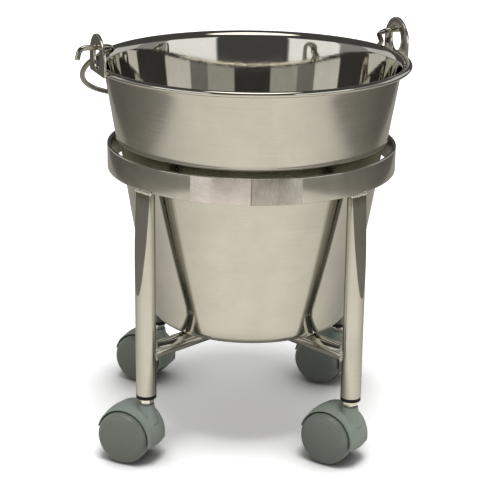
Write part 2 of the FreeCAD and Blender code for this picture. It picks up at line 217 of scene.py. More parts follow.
def swept(path: list[Vector], radius: float, sides: int, rounding: float) -> tuple[list[Vector], list[Face]]:
    """Round bar along a path, its ends slightly rounded.

    Args:
        path: Centre line.
        radius: Radius of the bar.
        sides: Points round the bar.
        rounding: Radius of the end edges.

    Returns:
        Vertices and faces.
    """
    tangents = []
    for i in range(len(path)):
        ahead, behind = path[min(i + 1, len(path) - 1)], path[max(i - 1, 0)]
        tangents.append((ahead - behind).normalized())
    normal = tangents[0].orthogonal().normalized()
    frames = []
    for tangent in tangents:
        normal = (normal - tangent * normal.dot(tangent)).normalized()
        frames.append((normal, tangent.cross(normal)))

    def ring(i: int, size: float, shift: float) -> list[Vector]:
        """One ring of points, at a size and a shift along the bar."""
        u, v = frames[i]
        centre = path[i] + tangents[i] * shift
        turn = 2 * math.pi / sides
        return [centre + u * (size * math.cos(k * turn)) + v * (size * math.sin(k * turn)) for k in range(sides)]

    corner = [(radius - rounding * (1 - math.cos(a)), rounding * math.sin(a)) for a in BAR_END_ANGLES]
    rings = [ring(0, size, -out) for size, out in corner]
    rings += [ring(i, radius, 0.0) for i in range(len(path))]
    rings += [ring(len(path) - 1, size, out) for size, out in reversed(corner)]
    return loft(rings, caps=True)


def moved(points: list[Vector], matrix: Matrix) -> list[Vector]:
    """The points after a transform."""
    return [matrix @ p for p in points]


def turn_and_place(degrees: float, at: Vector) -> Matrix:
    """Turn about Z, then move to a place."""
    return Matrix.Translation(at) @ Matrix.Rotation(math.radians(degrees), 4, "Z")


def join_parts(parts: list[tuple[list[Vector], list[Face]]]) -> tuple[list[Vector], list[Face]]:
    """Several sets of vertices and faces as one set."""
    points: list[Vector] = []
    faces: list[Face] = []
    for more_points, more_faces in parts:
        base = len(points)
        points += more_points
        faces += [tuple(i + base for i in f) for f in more_faces]
    return points, faces


def bake_modifiers(piece: bpy.types.Object) -> None:
    """Replaces a piece's mesh by its evaluated mesh and removes its modifiers."""
    bpy.context.view_layer.update()
    graph = bpy.context.evaluated_depsgraph_get()
    mesh = bpy.data.meshes.new_from_object(piece.evaluated_get(graph))
    piece.modifiers.clear()
    old = piece.data
    piece.data = mesh
    bpy.data.meshes.remove(old)


ROUNDED_SHARP = 50.0


def rounded_edges(piece: bpy.types.Object, width: float, segments: int = 3, sharp: float = 35.0) -> None:
    """Rounds a piece's sharp edges.

    Args:
        piece: The piece, which is changed.
        width: Width of the rounding in millimetres.
        segments: Facets across the rounding.
        sharp: Edges steeper than this many degrees are rounded.
    """
    bevel = piece.modifiers.new("rounding", "BEVEL")
    bevel.width = width * MM
    bevel.segments = segments
    bevel.limit_method = "ANGLE"
    bevel.angle_limit = math.radians(sharp)
    bake_modifiers(piece)
    piece.data.shade_smooth()
    piece.data.set_sharp_from_angle(angle=math.radians(ROUNDED_SHARP))


def fit_out(piece: bpy.types.Object, body: str, slot: str, *nodes: str) -> None:
    """Puts a finished piece on its body, in place of its nodes, and reports it.

    Args:
        piece: The finished piece.
        body: The body it moves with.
        slot: The record's material slot; not used.
        *nodes: CAD nodes that it stands for.
    """
    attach(piece, body)
    if nodes:
        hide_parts(*nodes)
    LOG.info("%s on %s, %d faces", piece.name, body, len(piece.data.polygons))


# ------------------------------------------------------------------ shader groups
def rgba(colour: Colour) -> tuple[float, float, float, float]:
    """A colour with full opacity."""
    return (*colour, 1.0)


def grey(level: float) -> Colour:
    """A colour with one level in all channels."""
    return (level, level, level)


class Wires:
    """Small helper that adds nodes to a tree and joins them."""

    def __init__(self, tree: bpy.types.NodeTree) -> None:
        """Keeps the tree that nodes are added to."""
        self.tree = tree

    def node(self, kind: str, inputs: dict | None = None, **settings: object) -> bpy.types.Node:
        """Adds a node.

        Args:
            kind: The node's type name.
            inputs: Socket name or number to a value or to another node's output.
            **settings: Attributes of the node.

        Returns:
            The new node.
        """
        made = self.tree.nodes.new(kind)
        for key, value in settings.items():
            setattr(made, key, value)
        for key, value in (inputs or {}).items():
            if isinstance(value, bpy.types.NodeSocket):
                self.tree.links.new(value, made.inputs[key])
            else:
                made.inputs[key].default_value = value
        return made

    def math(self, operation: str, a: object, b: object = 0.0, c: object = 0.0) -> bpy.types.NodeSocket:
        """Output of a Math node."""
        return self.node("ShaderNodeMath", {0: a, 1: b, 2: c}, operation=operation).outputs[0]

    def scaled(self, vector: object, scale: object) -> bpy.types.NodeSocket:
        """A vector or colour multiplied by another, channel by channel."""
        return self.node("ShaderNodeVectorMath", {0: vector, 1: scale}, operation="MULTIPLY").outputs[0]

    def dimmed(self, colour: object, level: object) -> bpy.types.NodeSocket:
        """A colour multiplied by one level."""
        return self.node("ShaderNodeVectorMath", {0: colour, 3: level}, operation="SCALE").outputs[0]

    def length(self, vector: object) -> bpy.types.NodeSocket:
        """Length of a vector."""
        return self.node("ShaderNodeVectorMath", {0: vector}, operation="LENGTH").outputs["Value"]

    def axes(self, vector: object) -> bpy.types.bpy_prop_collection:
        """The three components of a vector, by the names X, Y and Z."""
        return self.node("ShaderNodeSeparateXYZ", {0: vector}).outputs

    def noise(self, vector: object, scale: object, detail: float = 2.0, rough: float = 0.5) -> bpy.types.NodeSocket:
        """Value of a noise texture."""
        inputs = {"Vector": vector, "Scale": scale, "Detail": detail, "Roughness": rough}
        return self.node("ShaderNodeTexNoise", inputs).outputs["Fac"]

    def blend(self, factor: object, a: object, b: object) -> bpy.types.NodeSocket:
        """Mix of two colours."""
        made = self.node("ShaderNodeMix", {"Factor": factor}, data_type="RGBA")
        for socket, value in ((made.inputs[6], a), (made.inputs[7], b)):
            if isinstance(value, bpy.types.NodeSocket):
                self.tree.links.new(value, socket)
            else:
                socket.default_value = value
        return made.outputs[2]

    def span(self, value: object, low: float, high: float, to_low: float, to_high: float) -> bpy.types.NodeSocket:
        """A value mapped from one range to another, and held at its ends."""
        inputs = {"Value": value, "From Min": low, "From Max": high, "To Min": to_low, "To Max": to_high}
        return self.node("ShaderNodeMapRange", inputs, clamp=True).outputs[0]


def shader_group(
    name: str, inputs: dict[str, tuple[str, object]], outputs: dict[str, str]
) -> tuple[Wires, bpy.types.Node, bpy.types.Node]:
    """Empty shader node group with named sockets.

    Args:
        name: The group's name.
        inputs: Socket name to its kind and default value.
        outputs: Socket name to its kind.

    Returns:
        The wires of the group, its input node and its output node.
    """
    tree = bpy.data.node_groups.new(name, "ShaderNodeTree")
    for label, (kind, value) in inputs.items():
        socket = tree.interface.new_socket(label, in_out="INPUT", socket_type=kind)
        if value is not None:
            socket.default_value = value
    for label, kind in outputs.items():
        tree.interface.new_socket(label, in_out="OUTPUT", socket_type=kind)
    wires = Wires(tree)
    return wires, wires.node("NodeGroupInput"), wires.node("NodeGroupOutput")


FLOAT, COLOUR, VECTOR = "NodeSocketFloat", "NodeSocketColor", "NodeSocketVector"
CLOUD_SHADE = (0.92, 1.06)
LINE_SHADE = (0.968, 1.028)
LINE_ROUGHNESS = 0.10
PATCH_ROUGHNESS = 0.16
DUST_HEIGHT = 0.03
DUST_ABOVE = 0.35


def brushed_metal_group() -> bpy.types.NodeTree:
    """Group for brushed and polished steel: fine lines, cloudy wear and small stains.

    Returns:
        A group that takes the surface position and the finish's values, and puts out
        a colour, a roughness and a height.
    """
    wires, given, result = shader_group(
        "brushed_metal",
        {
            "Position": (VECTOR, None),
            "Line Stretch": (VECTOR, (8.0, 8.0, 2600.0)),
            "Colour": (COLOUR, (0.6, 0.58, 0.5, 1.0)),
            "Roughness": (FLOAT, 0.25),
            "Line Depth": (FLOAT, 1.0),
            "Cloud Scale": (FLOAT, 30.0),
            "Cloud Amount": (FLOAT, 0.05),
        },
        {"Colour": COLOUR, "Roughness": FLOAT, "Height": FLOAT},
    )
    stretched = wires.scaled(given.outputs["Position"], given.outputs["Line Stretch"])
    lines = wires.noise(stretched, 1.0, 3.0, 0.65)
    clouds = wires.noise(given.outputs["Position"], given.outputs["Cloud Scale"], 4.0, 0.6)
    centred = wires.math("SUBTRACT", clouds, 0.5)
    rough = wires.math("MULTIPLY_ADD", centred, given.outputs["Cloud Amount"], given.outputs["Roughness"])
    line_rough = wires.math("MULTIPLY_ADD", wires.math("SUBTRACT", lines, 0.5), LINE_ROUGHNESS, rough)
    shade = wires.span(clouds, 0.25, 0.75, *CLOUD_SHADE)
    line_shade = wires.math("MULTIPLY", shade, wires.span(lines, 0.3, 0.7, *LINE_SHADE))
    colour = wires.dimmed(given.outputs["Colour"], line_shade)
    height = wires.math("MULTIPLY", lines, given.outputs["Line Depth"])
    wires.tree.links.new(colour, result.inputs["Colour"])
    wires.tree.links.new(line_rough, result.inputs["Roughness"])
    wires.tree.links.new(height, result.inputs["Height"])
    return wires.tree


def moulded_plastic_group() -> bpy.types.NodeTree:
    """Group for moulded plastic: a fine texture, scuffs and dust.

    Returns:
        A group that puts out a colour, a roughness and a height.
    """
    wires, given, result = shader_group(
        "moulded_plastic",
        {
            "Position": (VECTOR, None),
            "Colour": (COLOUR, (0.14, 0.16, 0.14, 1.0)),
            "Dust": (COLOUR, (0.3, 0.3, 0.27, 1.0)),
            "Dust Amount": (FLOAT, 0.1),
            "Roughness": (FLOAT, 0.45),
            "Grain": (FLOAT, 1.0),
        },
        {"Colour": COLOUR, "Roughness": FLOAT, "Height": FLOAT},
    )
    position = given.outputs["Position"]
    grain = wires.noise(position, 1400.0, 2.0)
    patches = wires.noise(position, 70.0, 5.0, 0.65)
    near_floor = wires.span(wires.axes(position)["Z"], 0.0, DUST_HEIGHT, 1.0, DUST_ABOVE)
    dust = wires.math("MULTIPLY", wires.span(patches, 0.42, 0.75, 0.0, 1.0), given.outputs["Dust Amount"])
    dust = wires.math("MULTIPLY", dust, near_floor)
    colour = wires.blend(dust, given.outputs["Colour"], given.outputs["Dust"])
    centred = wires.math("SUBTRACT", patches, 0.5)
    rough = wires.math("MULTIPLY_ADD", centred, PATCH_ROUGHNESS, given.outputs["Roughness"])
    height = wires.math("MULTIPLY", grain, given.outputs["Grain"])
    wires.tree.links.new(colour, result.inputs["Colour"])
    wires.tree.links.new(rough, result.inputs["Roughness"])
    wires.tree.links.new(height, result.inputs["Height"])
    return wires.tree


# ------------------------------------------------------------------ finishes
BUMP_DISTANCE = 0.0005
STEEL_BASE: Colour = (0.60, 0.585, 0.53)


class Surface:
    """New material whose Principled shader is fed by one of the shader groups."""

    def __init__(self, name: str, group: bpy.types.NodeTree, values: dict[str, object]) -> None:
        """Makes the material.

        Args:
            name: The material's name.
            group: The shader group that feeds it.
            values: Values of the group's inputs.
        """
        self.material = bpy.data.materials.new(name)
        self.material.use_nodes = True
        self.wires = Wires(self.material.node_tree)
        self.shader = self.material.node_tree.nodes["Principled BSDF"]
        self.position = self.wires.node("ShaderNodeTexCoord").outputs["Object"]
        inputs = {"Position": self.position, **values}
        self.group = self.wires.node("ShaderNodeGroup", inputs, node_tree=group)

    def feed(self, socket: str, value: bpy.types.NodeSocket) -> None:
        """Links a value to one of the shader's sockets."""
        self.material.node_tree.links.new(value, self.shader.inputs[socket])

    def source(self, socket: str) -> bpy.types.NodeSocket:
        """What is linked to one of the shader's sockets."""
        return self.shader.inputs[socket].links[0].from_socket

    def finish(self, colour: bpy.types.NodeSocket, bump: float) -> None:
        """Links a colour, and the group's roughness and bump.

        Args:
            colour: The colour.
            bump: Strength of the bump.
        """
        raised = self.wires.node("ShaderNodeBump", {"Height": self.group.outputs["Height"], "Strength": bump})
        raised.inputs["Distance"].default_value = BUMP_DISTANCE
        self.feed("Base Color", colour)
        self.feed("Roughness", self.group.outputs["Roughness"])
        self.feed("Normal", raised.outputs[0])


@dataclass(frozen=True)
class Steel:
    """Bare steel with a brushed, ground or polished finish."""

    name: str
    colour: Colour
    roughness: float
    line_depth: float
    stretch: tuple[float, float, float] = (8.0, 8.0, 2600.0)
    cloud_scale: float = 30.0
    cloud_amount: float = 0.05
    bump: float = 0.02
    brushed_round: float = 0.0
    tint: Colour | None = None
    tint_band: Point = (0.0, 1.0)
    # Painted shade: nearer the axis than the reach, the colour is dimmed to the inner level, darkening the side that
    # faces the bucket.
    painted_inner_shade: float = 1.0
    painted_shade_reach: float = 0.132
    painted_shade_blend: float = 0.001

    def surface(self, groups: dict[str, bpy.types.NodeTree]) -> Surface:
        """Builds the steel, with its heat tint and the painted shade on its inner side where it has them.

        Args:
            groups: Shader groups by name.

        Returns:
            The surface.
        """
        values = {
            "Line Stretch": self.stretch,
            "Colour": rgba(self.colour),
            "Roughness": self.roughness,
            "Line Depth": self.line_depth,
            "Cloud Scale": self.cloud_scale,
            "Cloud Amount": self.cloud_amount,
        }
        made = Surface(self.name, groups["brushed_metal"], values)
        wires, colour = made.wires, made.group.outputs["Colour"]
        if self.tint:
            height = wires.axes(made.position)["Z"]
            wobble = wires.math("MULTIPLY_ADD", wires.noise(made.position, 160.0, 3.0), 0.012, height)
            colour = wires.blend(wires.span(wobble, *self.tint_band, 0.0, 1.0), colour, rgba(self.tint))
        # Painted shade on the side of the part that faces the bucket.
        if self.painted_inner_shade < 1.0:
            reach = wires.length(wires.scaled(made.position, (1.0, 1.0, 0.0)))
            low, high = self.painted_shade_reach - self.painted_shade_blend, self.painted_shade_reach + self.painted_shade_blend
            colour = wires.dimmed(colour, wires.span(reach, low, high, self.painted_inner_shade, 1.0))
        made.finish(colour, self.bump)
        made.shader.inputs["Metallic"].default_value = 1.0
        if self.brushed_round:
            made.shader.inputs["Anisotropic"].default_value = self.brushed_round
            made.shader.inputs["Anisotropic Rotation"].default_value = 0.25
            made.feed("Tangent", wires.node("ShaderNodeTangent", direction_type="RADIAL", axis="Z").outputs[0])
        return made

    def material(self, groups: dict[str, bpy.types.NodeTree]) -> bpy.types.Material:
        """Builds the material.

        Args:
            groups: Shader groups by name.

        Returns:
            The material.
        """
        return self.surface(groups).material


@dataclass(frozen=True)
class GroundRing(Steel):
    """Ring steel whose finish changes on both sides of the closing weld, where it was ground."""

    zone_left: float = -23.0
    zone_right: float = 19.0
    zone_edge: float = 0.15
    seam_edge: float = 0.3
    left_shade: Colour = (1.36, 1.30, 1.36)
    right_shade: Colour = (0.92, 0.90, 0.90)
    zone_roughness: float = 0.16

    def surface(self, groups: dict[str, bpy.types.NodeTree]) -> Surface:
        """Builds the ring's steel with its two ground zones.

        Args:
            groups: Shader groups by name.

        Returns:
            The surface.
        """
        made = Steel.surface(self, groups)
        wires, position, edge = made.wires, made.position, self.zone_edge
        axes = wires.axes(position)
        turn = wires.math("ARCTAN2", axes["X"], wires.math("MULTIPLY", axes["Y"], -1.0))
        degrees = wires.math("MULTIPLY", turn, 180.0 / math.pi)
        grind = wires.noise(wires.scaled(position, (260.0, 260.0, 900.0)), 1.0, 4.0, 0.7)
        cross = wires.noise(wires.scaled(position, (1500.0, 1500.0, 120.0)), 1.0, 3.0, 0.65)
        blotches = wires.noise(position, 90.0, 3.0, 0.6)
        pits = wires.noise(wires.scaled(position, (260.0, 260.0, 420.0)), 1.0, 4.0, 0.75)
        left = wires.math(
            "MULTIPLY",
            wires.span(degrees, self.zone_left - edge, self.zone_left + edge, 0.0, 1.0),
            wires.span(degrees, -self.seam_edge, 0.0, 1.0, 0.0),
        )
        right = wires.math(
            "MULTIPLY",
            wires.span(degrees, 0.0, self.seam_edge, 0.0, 1.0),
            wires.span(degrees, self.zone_right - edge, self.zone_right + edge, 1.0, 0.0),
        )
        colour, rough = made.source("Base Color"), made.source("Roughness")
        specks = wires.span(pits, 0.30, 0.38, 0.45, 1.0)
        light = wires.math("MULTIPLY", wires.span(blotches, 0.3, 0.7, 0.93, 1.04), specks)
        light = wires.math("MULTIPLY", light, wires.span(grind, 0.3, 0.7, 0.95, 1.03))
        stains = wires.span(blotches, 0.3, 0.7, 0.9, 1.1)
        ground = wires.math("MULTIPLY", wires.span(cross, 0.3, 0.7, 0.82, 1.12), stains)
        shade = wires.blend(left, rgba(grey(1.0)), rgba(self.left_shade))
        shade = wires.blend(right, shade, rgba(self.right_shade))
        marked = wires.math("MULTIPLY_ADD", wires.math("SUBTRACT", light, 1.0), left, 1.0)
        marked = wires.math("MULTIPLY_ADD", wires.math("SUBTRACT", ground, 1.0), right, marked)
        made.feed("Base Color", wires.scaled(colour, wires.dimmed(shade, marked)))
        zones = wires.math("MAXIMUM", left, right)
        made.feed("Roughness", wires.math("MULTIPLY_ADD", zones, self.zone_roughness, rough))
        return made


@dataclass(frozen=True)
class Plastic:
    """Moulded plastic."""

    name: str
    colour: Colour
    roughness: float
    dust_amount: float = 0.12
    grain: float = 1.0
    bump: float = 0.05
    specular: float = 0.5

    def material(self, groups: dict[str, bpy.types.NodeTree]) -> bpy.types.Material:
        """Builds the material.

        Args:
            groups: Shader groups by name.

        Returns:
            The material.
        """
        values = {
            "Colour": rgba(self.colour),
            "Dust Amount": self.dust_amount,
            "Roughness": self.roughness,
            "Grain": self.grain,
        }
        made = Surface(self.name, groups["moulded_plastic"], values)
        made.finish(made.group.outputs["Colour"], self.bump)
        made.shader.inputs["Specular IOR Level"].default_value = self.specular
        return made.material


class Finishes:
    """Every material of the object, built once."""

    def __init__(self) -> None:
        """Builds the shader groups and the materials."""
        groups = {"brushed_metal": brushed_metal_group(), "moulded_plastic": moulded_plastic_group()}
        self.bucket_outside = Steel(
            "satin_bucket_steel", STEEL_BASE, 0.085, 1.0, stretch=(12.0, 12.0, 1500.0), bump=0.03,
            brushed_round=1.0,
        ).material(groups)
        self.bucket_inside = Steel(
            "polished_bucket_steel", STEEL_BASE, 0.03, 0.4, stretch=(150.0, 150.0, 900.0), bump=0.02,
            cloud_amount=0.02, brushed_round=1.0,
        ).material(groups)
        self.ring = GroundRing(
            "ground_ring_steel", STEEL_BASE, 0.1, 1.0, cloud_scale=60.0, bump=0.03, brushed_round=1.0
        ).material(groups)
        # The ring's inner face is painted darker: painted shade for the recess between the ring and the bucket.
        self.ring_inside = Steel(
            "shade_painted_ring_steel", (0.38, 0.39, 0.32), 0.25, 0.6, cloud_scale=90.0, cloud_amount=0.1
        ).material(groups)
        self.tube = Steel("satin_tube_steel", STEEL_BASE, 0.1, 0.5, bump=0.015).material(groups)
        # The legs carry painted shade on their inner side, towards the bucket.
        self.leg = Steel(
            "satin_leg_steel", STEEL_BASE, 0.08, 0.5, bump=0.015, tint=(0.3, 0.27, 0.22), tint_band=(0.256, 0.27),
            painted_inner_shade=0.5,
        ).material(groups)
        self.ear = Steel(
            "satin_ear_steel", (0.63, 0.605, 0.54), 0.18, 0.8, cloud_scale=90.0, bump=0.05
        ).material(groups)
        self.weld = Steel(
            "bright_weld_steel", (0.7, 0.67, 0.6), 0.2, 0.2, cloud_scale=500.0, cloud_amount=0.2
        ).material(groups)
        self.seam = Steel(
            "ground_seam_steel", (0.30, 0.28, 0.25), 0.3, 0.3, cloud_scale=300.0, cloud_amount=0.2
        ).material(groups)
        self.wire = Steel(
            "drawn_wire_steel", (0.40, 0.39, 0.33), 0.11, 0.3, cloud_scale=120.0, cloud_amount=0.1
        ).material(groups)
        self.nut = Steel(
            "plated_nut_steel", (0.8, 0.78, 0.71), 0.12, 0.3, cloud_scale=300.0, cloud_amount=0.1
        ).material(groups)
        self.pin = Steel("machined_pin_steel", (0.55, 0.54, 0.5), 0.25, 0.5).material(groups)
        self.plug = Plastic("black_plug_plastic", (0.009, 0.009, 0.007), 0.45, 0.04, specular=0.2).material(groups)
        # The hood's grey is set lighter than the wheel's; part of that is painted light, making up for the shade the
        # bucket casts on the hoods.
        self.hood = Plastic("grey_hood_plastic", (0.275, 0.32, 0.275), 0.2, 0.10).material(groups)
        self.wheel = Plastic("grey_wheel_plastic", (0.175, 0.195, 0.165), 0.36, 0.14).material(groups)


# ------------------------------------------------------------------ weld ripples
@dataclass
class RippleWeld:
    """Row of overlapping scales that a welding torch leaves, made by geometry nodes."""

    pitch: float = 1.1
    length: float = 1.2
    width: float = 1.6
    height: float = 0.7
    unevenness: float = 0.18
    seed: int = 3

    def tree(self) -> bpy.types.NodeTree:
        """Geometry node tree that sets a scale on each point of a path.

        Returns:
            The tree, with named inputs for its sizes.
        """
        tree = bpy.data.node_groups.new("weld_ripples", "GeometryNodeTree")
        face = tree.interface
        face.new_socket("Geometry", in_out="INPUT", socket_type="NodeSocketGeometry")
        for label in ("Pitch", "Length", "Width", "Height", "Unevenness"):
            face.new_socket(label, in_out="INPUT", socket_type="NodeSocketFloat")
        face.new_socket("Seed", in_out="INPUT", socket_type="NodeSocketInt")
        face.new_socket("Material", in_out="INPUT", socket_type="NodeSocketMaterial")
        face.new_socket("Geometry", in_out="OUTPUT", socket_type="NodeSocketGeometry")
        wires = Wires(tree)
        given, result = wires.node("NodeGroupInput"), wires.node("NodeGroupOutput")
        curve = wires.node("GeometryNodeMeshToCurve", {"Mesh": given.outputs["Geometry"]})
        even = wires.node(
            "GeometryNodeResampleCurve", {"Curve": curve.outputs[0], "Length": given.outputs["Pitch"]}, mode="LENGTH"
        )
        scale = wires.node("GeometryNodeMeshIcoSphere", {"Radius": 1.0, "Subdivisions": 2})
        smooth = wires.node("GeometryNodeSetShadeSmooth", {"Geometry": scale.outputs["Mesh"]})
        normal = wires.node("GeometryNodeInputNormal").outputs[0]
        along = wires.node("GeometryNodeInputTangent").outputs[0]
        facing = wires.node("FunctionNodeAlignRotationToVector", {"Vector": normal}, axis="Z")
        turned = wires.node(
            "FunctionNodeAlignRotationToVector",
            {"Rotation": facing.outputs[0], "Vector": along},
            axis="X",
            pivot_axis="Z",
        )
        least = wires.math("SUBTRACT", 1.0, given.outputs["Unevenness"])
        most = wires.math("ADD", 1.0, given.outputs["Unevenness"])
        vary = wires.node(
            "FunctionNodeRandomValue", {2: least, 3: most, "Seed": given.outputs["Seed"]}, data_type="FLOAT"
        )
        size = wires.node(
            "ShaderNodeCombineXYZ",
            {"X": given.outputs["Length"], "Y": given.outputs["Width"], "Z": given.outputs["Height"]},
        ).outputs[0]
        varied = wires.dimmed(size, vary.outputs[1])
        placed = wires.node(
            "GeometryNodeInstanceOnPoints",
            {
                "Points": even.outputs[0],
                "Instance": smooth.outputs[0],
                "Rotation": turned.outputs[0],
                "Scale": varied,
            },
        )
        real = wires.node("GeometryNodeRealizeInstances", {"Geometry": placed.outputs[0]})
        dressed = wires.node(
            "GeometryNodeSetMaterial", {"Geometry": real.outputs[0], "Material": given.outputs["Material"]}
        )
        tree.links.new(dressed.outputs[0], result.inputs[0])
        return tree

    def piece(
        self, name: str, paths: list[list[Vector]], closed: bool, material: bpy.types.Material
    ) -> bpy.types.Object:
        """Weld beads along paths.

        Args:
            name: Object name.
            paths: Centre lines in millimetres.
            closed: Whether each path closes on itself.
            material: The weld's material.

        Returns:
            A plain mesh object.
        """
        points: list[Vector] = []
        edges: list[tuple[int, int]] = []
        for path in paths:
            base = len(points)
            points += path
            edges += [(base + i, base + i + 1) for i in range(len(path) - 1)]
            if closed:
                edges.append((base + len(path) - 1, base))
        mesh = bpy.data.meshes.new(name)
        mesh.from_pydata([tuple(p * MM) for p in points], edges, [])
        made = bpy.data.objects.new(name, mesh)
        bpy.context.scene.collection.objects.link(made)
        modifier = made.modifiers.new("ripples", "NODES")
        modifier.node_group = self.tree()
        values = {
            "Pitch": self.pitch * MM,
            "Length": self.length * MM,
            "Width": self.width * MM,
            "Height": self.height * MM,
            "Unevenness": self.unevenness,
            "Seed": self.seed,
            "Material": material,
        }
        for item in modifier.node_group.interface.items_tree:
            if item.in_out == "INPUT" and item.name in values:
                modifier[item.identifier] = values[item.name]
        bake_modifiers(made)
        made.data.materials.clear()
        made.data.materials.append(material)
        return made


# ------------------------------------------------------------------ bucket
@dataclass
class Bucket:
    """Drawn steel bucket with a beaded rim, two ears and their welds."""

    finishes: Finishes
    segments: int = 256
    bottom: float = 115.7
    wall: float = 1.0
    corner: Point = (85.8, 124.7)
    corner_radius: float = 9.0
    lower_angles: Point = (6.4, 13.4)
    hollow: Point = (125.4, 290.0)
    hollow_round: float = 1.5
    shoulder: Point = (126.5, 293.2)
    shoulder_round: float = 1.7
    lip_turn: float = 6.0
    lip_height: float = 3.0
    upper_angle: float = 9.0
    flare: Point = (145.0, 356.7)
    flare_radius: float = 8.1
    curl_radius: float = 2.6
    curl_end: float = -180.0
    ear_radius: float = 23.5
    ear_face: float = 147.2
    ear_thickness: float = 2.4
    ear_foot: float = 359.6
    ear_centre: float = 372.0
    hole_centre: float = 374.9
    hole_half: Point = (10.5, 11.4)
    weld_inset: float = 0.9
    weld_height: float = 363.7
    weld_half_length: float = 20.0

    def side(self, inset: float) -> list[Point]:
        """Profile of the side from the base's middle to the flare.

        Args:
            inset: 0 for the outside, the wall's thickness for the inside.

        Returns:
            Radius and height pairs, upwards.
        """
        top_angle, bottom_angle = self.lower_angles
        low = arc(self.corner, self.corner_radius - inset, -90.0, -bottom_angle, 10)
        high = arc(self.hollow, self.hollow_round + inset, 180.0 - top_angle, 90.0, 6)
        belly = turned_chord(low[-1], high[0], bottom_angle - top_angle, 24)
        lip = arc(self.shoulder, self.shoulder_round - inset, -90.0, self.lip_turn, 10)
        low_slope = -math.tan(math.radians(self.lip_turn))
        gain = (math.tan(math.radians(self.upper_angle)) - low_slope) / 2
        start_r, start_z = lip[-1]
        for i in range(1, 9):
            share = i / 8
            spread = self.lip_height * (low_slope * share + gain * share**2)
            lip.append((start_r + spread, start_z + self.lip_height * share))
        top = self.rim(inset)[0]
        rise = [
            (lip[-1][0] + (top[0] - lip[-1][0]) * i / 12, lip[-1][1] + (top[1] - lip[-1][1]) * i / 12)
            for i in range(1, 12)
        ]
        base = [(0.0, self.bottom + inset)] + [(self.corner[0] * i / 8, self.bottom + inset) for i in range(1, 8)]
        return base + low + belly[1:-1] + high + lip + rise

    def rim(self, inset: float) -> list[Point]:
        """Profile of the rim, flared outwards and curled under.

        Args:
            inset: 0 for the outside, the wall's thickness for the inside.

        Returns:
            Radius and height pairs, from the top of the wall to the curl's end.
        """
        flare_radius = self.flare_radius - self.wall + inset
        curl_radius = self.curl_radius - self.wall + inset
        curl = (self.flare[0], self.flare[1] + self.flare_radius - self.curl_radius)
        flare = arc(self.flare, flare_radius, 180.0 - self.upper_angle, 90.0, 16)
        return flare + arc(curl, curl_radius, 90.0, self.curl_end, 36)[1:]

    def shell(self) -> bpy.types.Object:
        """The bucket's wall, base and curled rim."""
        outside = self.side(0.0) + self.rim(0.0)
        inside = self.side(self.wall) + self.rim(self.wall)
        profile = outside + inside[::-1]
        points, faces = lathe(profile, self.segments, closed=False)
        piece = new_piece("bucket_shell_skin", points, faces, sharp=60.0)
        piece.data.materials.append(self.finishes.bucket_outside)
        piece.data.materials.append(self.finishes.bucket_inside)
        for face in piece.data.polygons:
            spot = face.center
            inward = face.normal.x * spot.x + face.normal.y * spot.y < 0 or face.normal.z > 0.9
            on_rim = spot.z > (self.flare[1] + self.flare_radius / 2) * MM
            face.material_index = 1 if (inward and spot.z > (self.bottom + 0.3) * MM) or on_rim else 0
        return piece

    def ear(self, side: Side) -> bpy.types.Object:
        """One ear: a half-round plate with an oval hole."""
        steps = 72
        outline: list[Point] = []
        hole: list[Point] = []
        for i in range(steps):
            angle = 2 * math.pi * i / steps
            y, z = math.cos(angle), math.sin(angle)
            hole.append((self.hole_half[0] * y, self.hole_centre + self.hole_half[1] * z))
            lift = self.hole_centre - self.ear_centre
            along = -lift * z + math.sqrt((lift * z) ** 2 - lift**2 + self.ear_radius**2)
            if lift + along * z < 0:
                reach_side = self.ear_radius / abs(y) if abs(y) > 1e-6 else 1e9
                reach_foot = (self.hole_centre - self.ear_foot) / -z if z < 0 else 1e9
                along = min(reach_side, reach_foot)
            outline.append((along * y, self.hole_centre + along * z))
        loops = []
        for depth, loop in ((0.0, hole), (0.0, outline), (self.ear_thickness, outline), (self.ear_thickness, hole)):
            loops.append([Vector((self.ear_face + depth, y, z)) for y, z in loop])
        points, faces = loft(loops + [loops[0]], caps=False)
        name = "ear_plate_" + side.name.lower()
        piece = new_piece(name, moved(points, turn_and_place(EAR_LINE[side], Vector())), faces)
        rounded_edges(piece, 0.45)
        piece.data.materials.append(self.finishes.ear)
        return piece

    def ear_weld_paths(self) -> list[list[Vector]]:
        """Centre line of the weld run at each ear's foot."""
        paths = []
        for side in Side:
            place = turn_and_place(EAR_LINE[side], Vector())
            steps = [self.weld_half_length * (i / 12 - 1) for i in range(25)]
            line = [Vector((self.ear_face - self.weld_inset, y, self.weld_height)) for y in steps]
            paths.append(moved(line, place))
        return paths

    def build(self) -> None:
        """Builds and places the bucket's pieces."""
        fit_out(self.shell(), "bucket", "bucket_steel", "bucket_shell")
        for side in Side:
            fit_out(self.ear(side), "bucket", "ear_steel", "ear_" + side.name.lower())
        welds = RippleWeld(pitch=1.7, length=1.3, width=1.3, height=1.5, seed=5)
        piece = welds.piece("ear_weld_ripples", self.ear_weld_paths(), False, self.finishes.weld)
        fit_out(piece, "bucket", "weld_metal", "ear_welds")


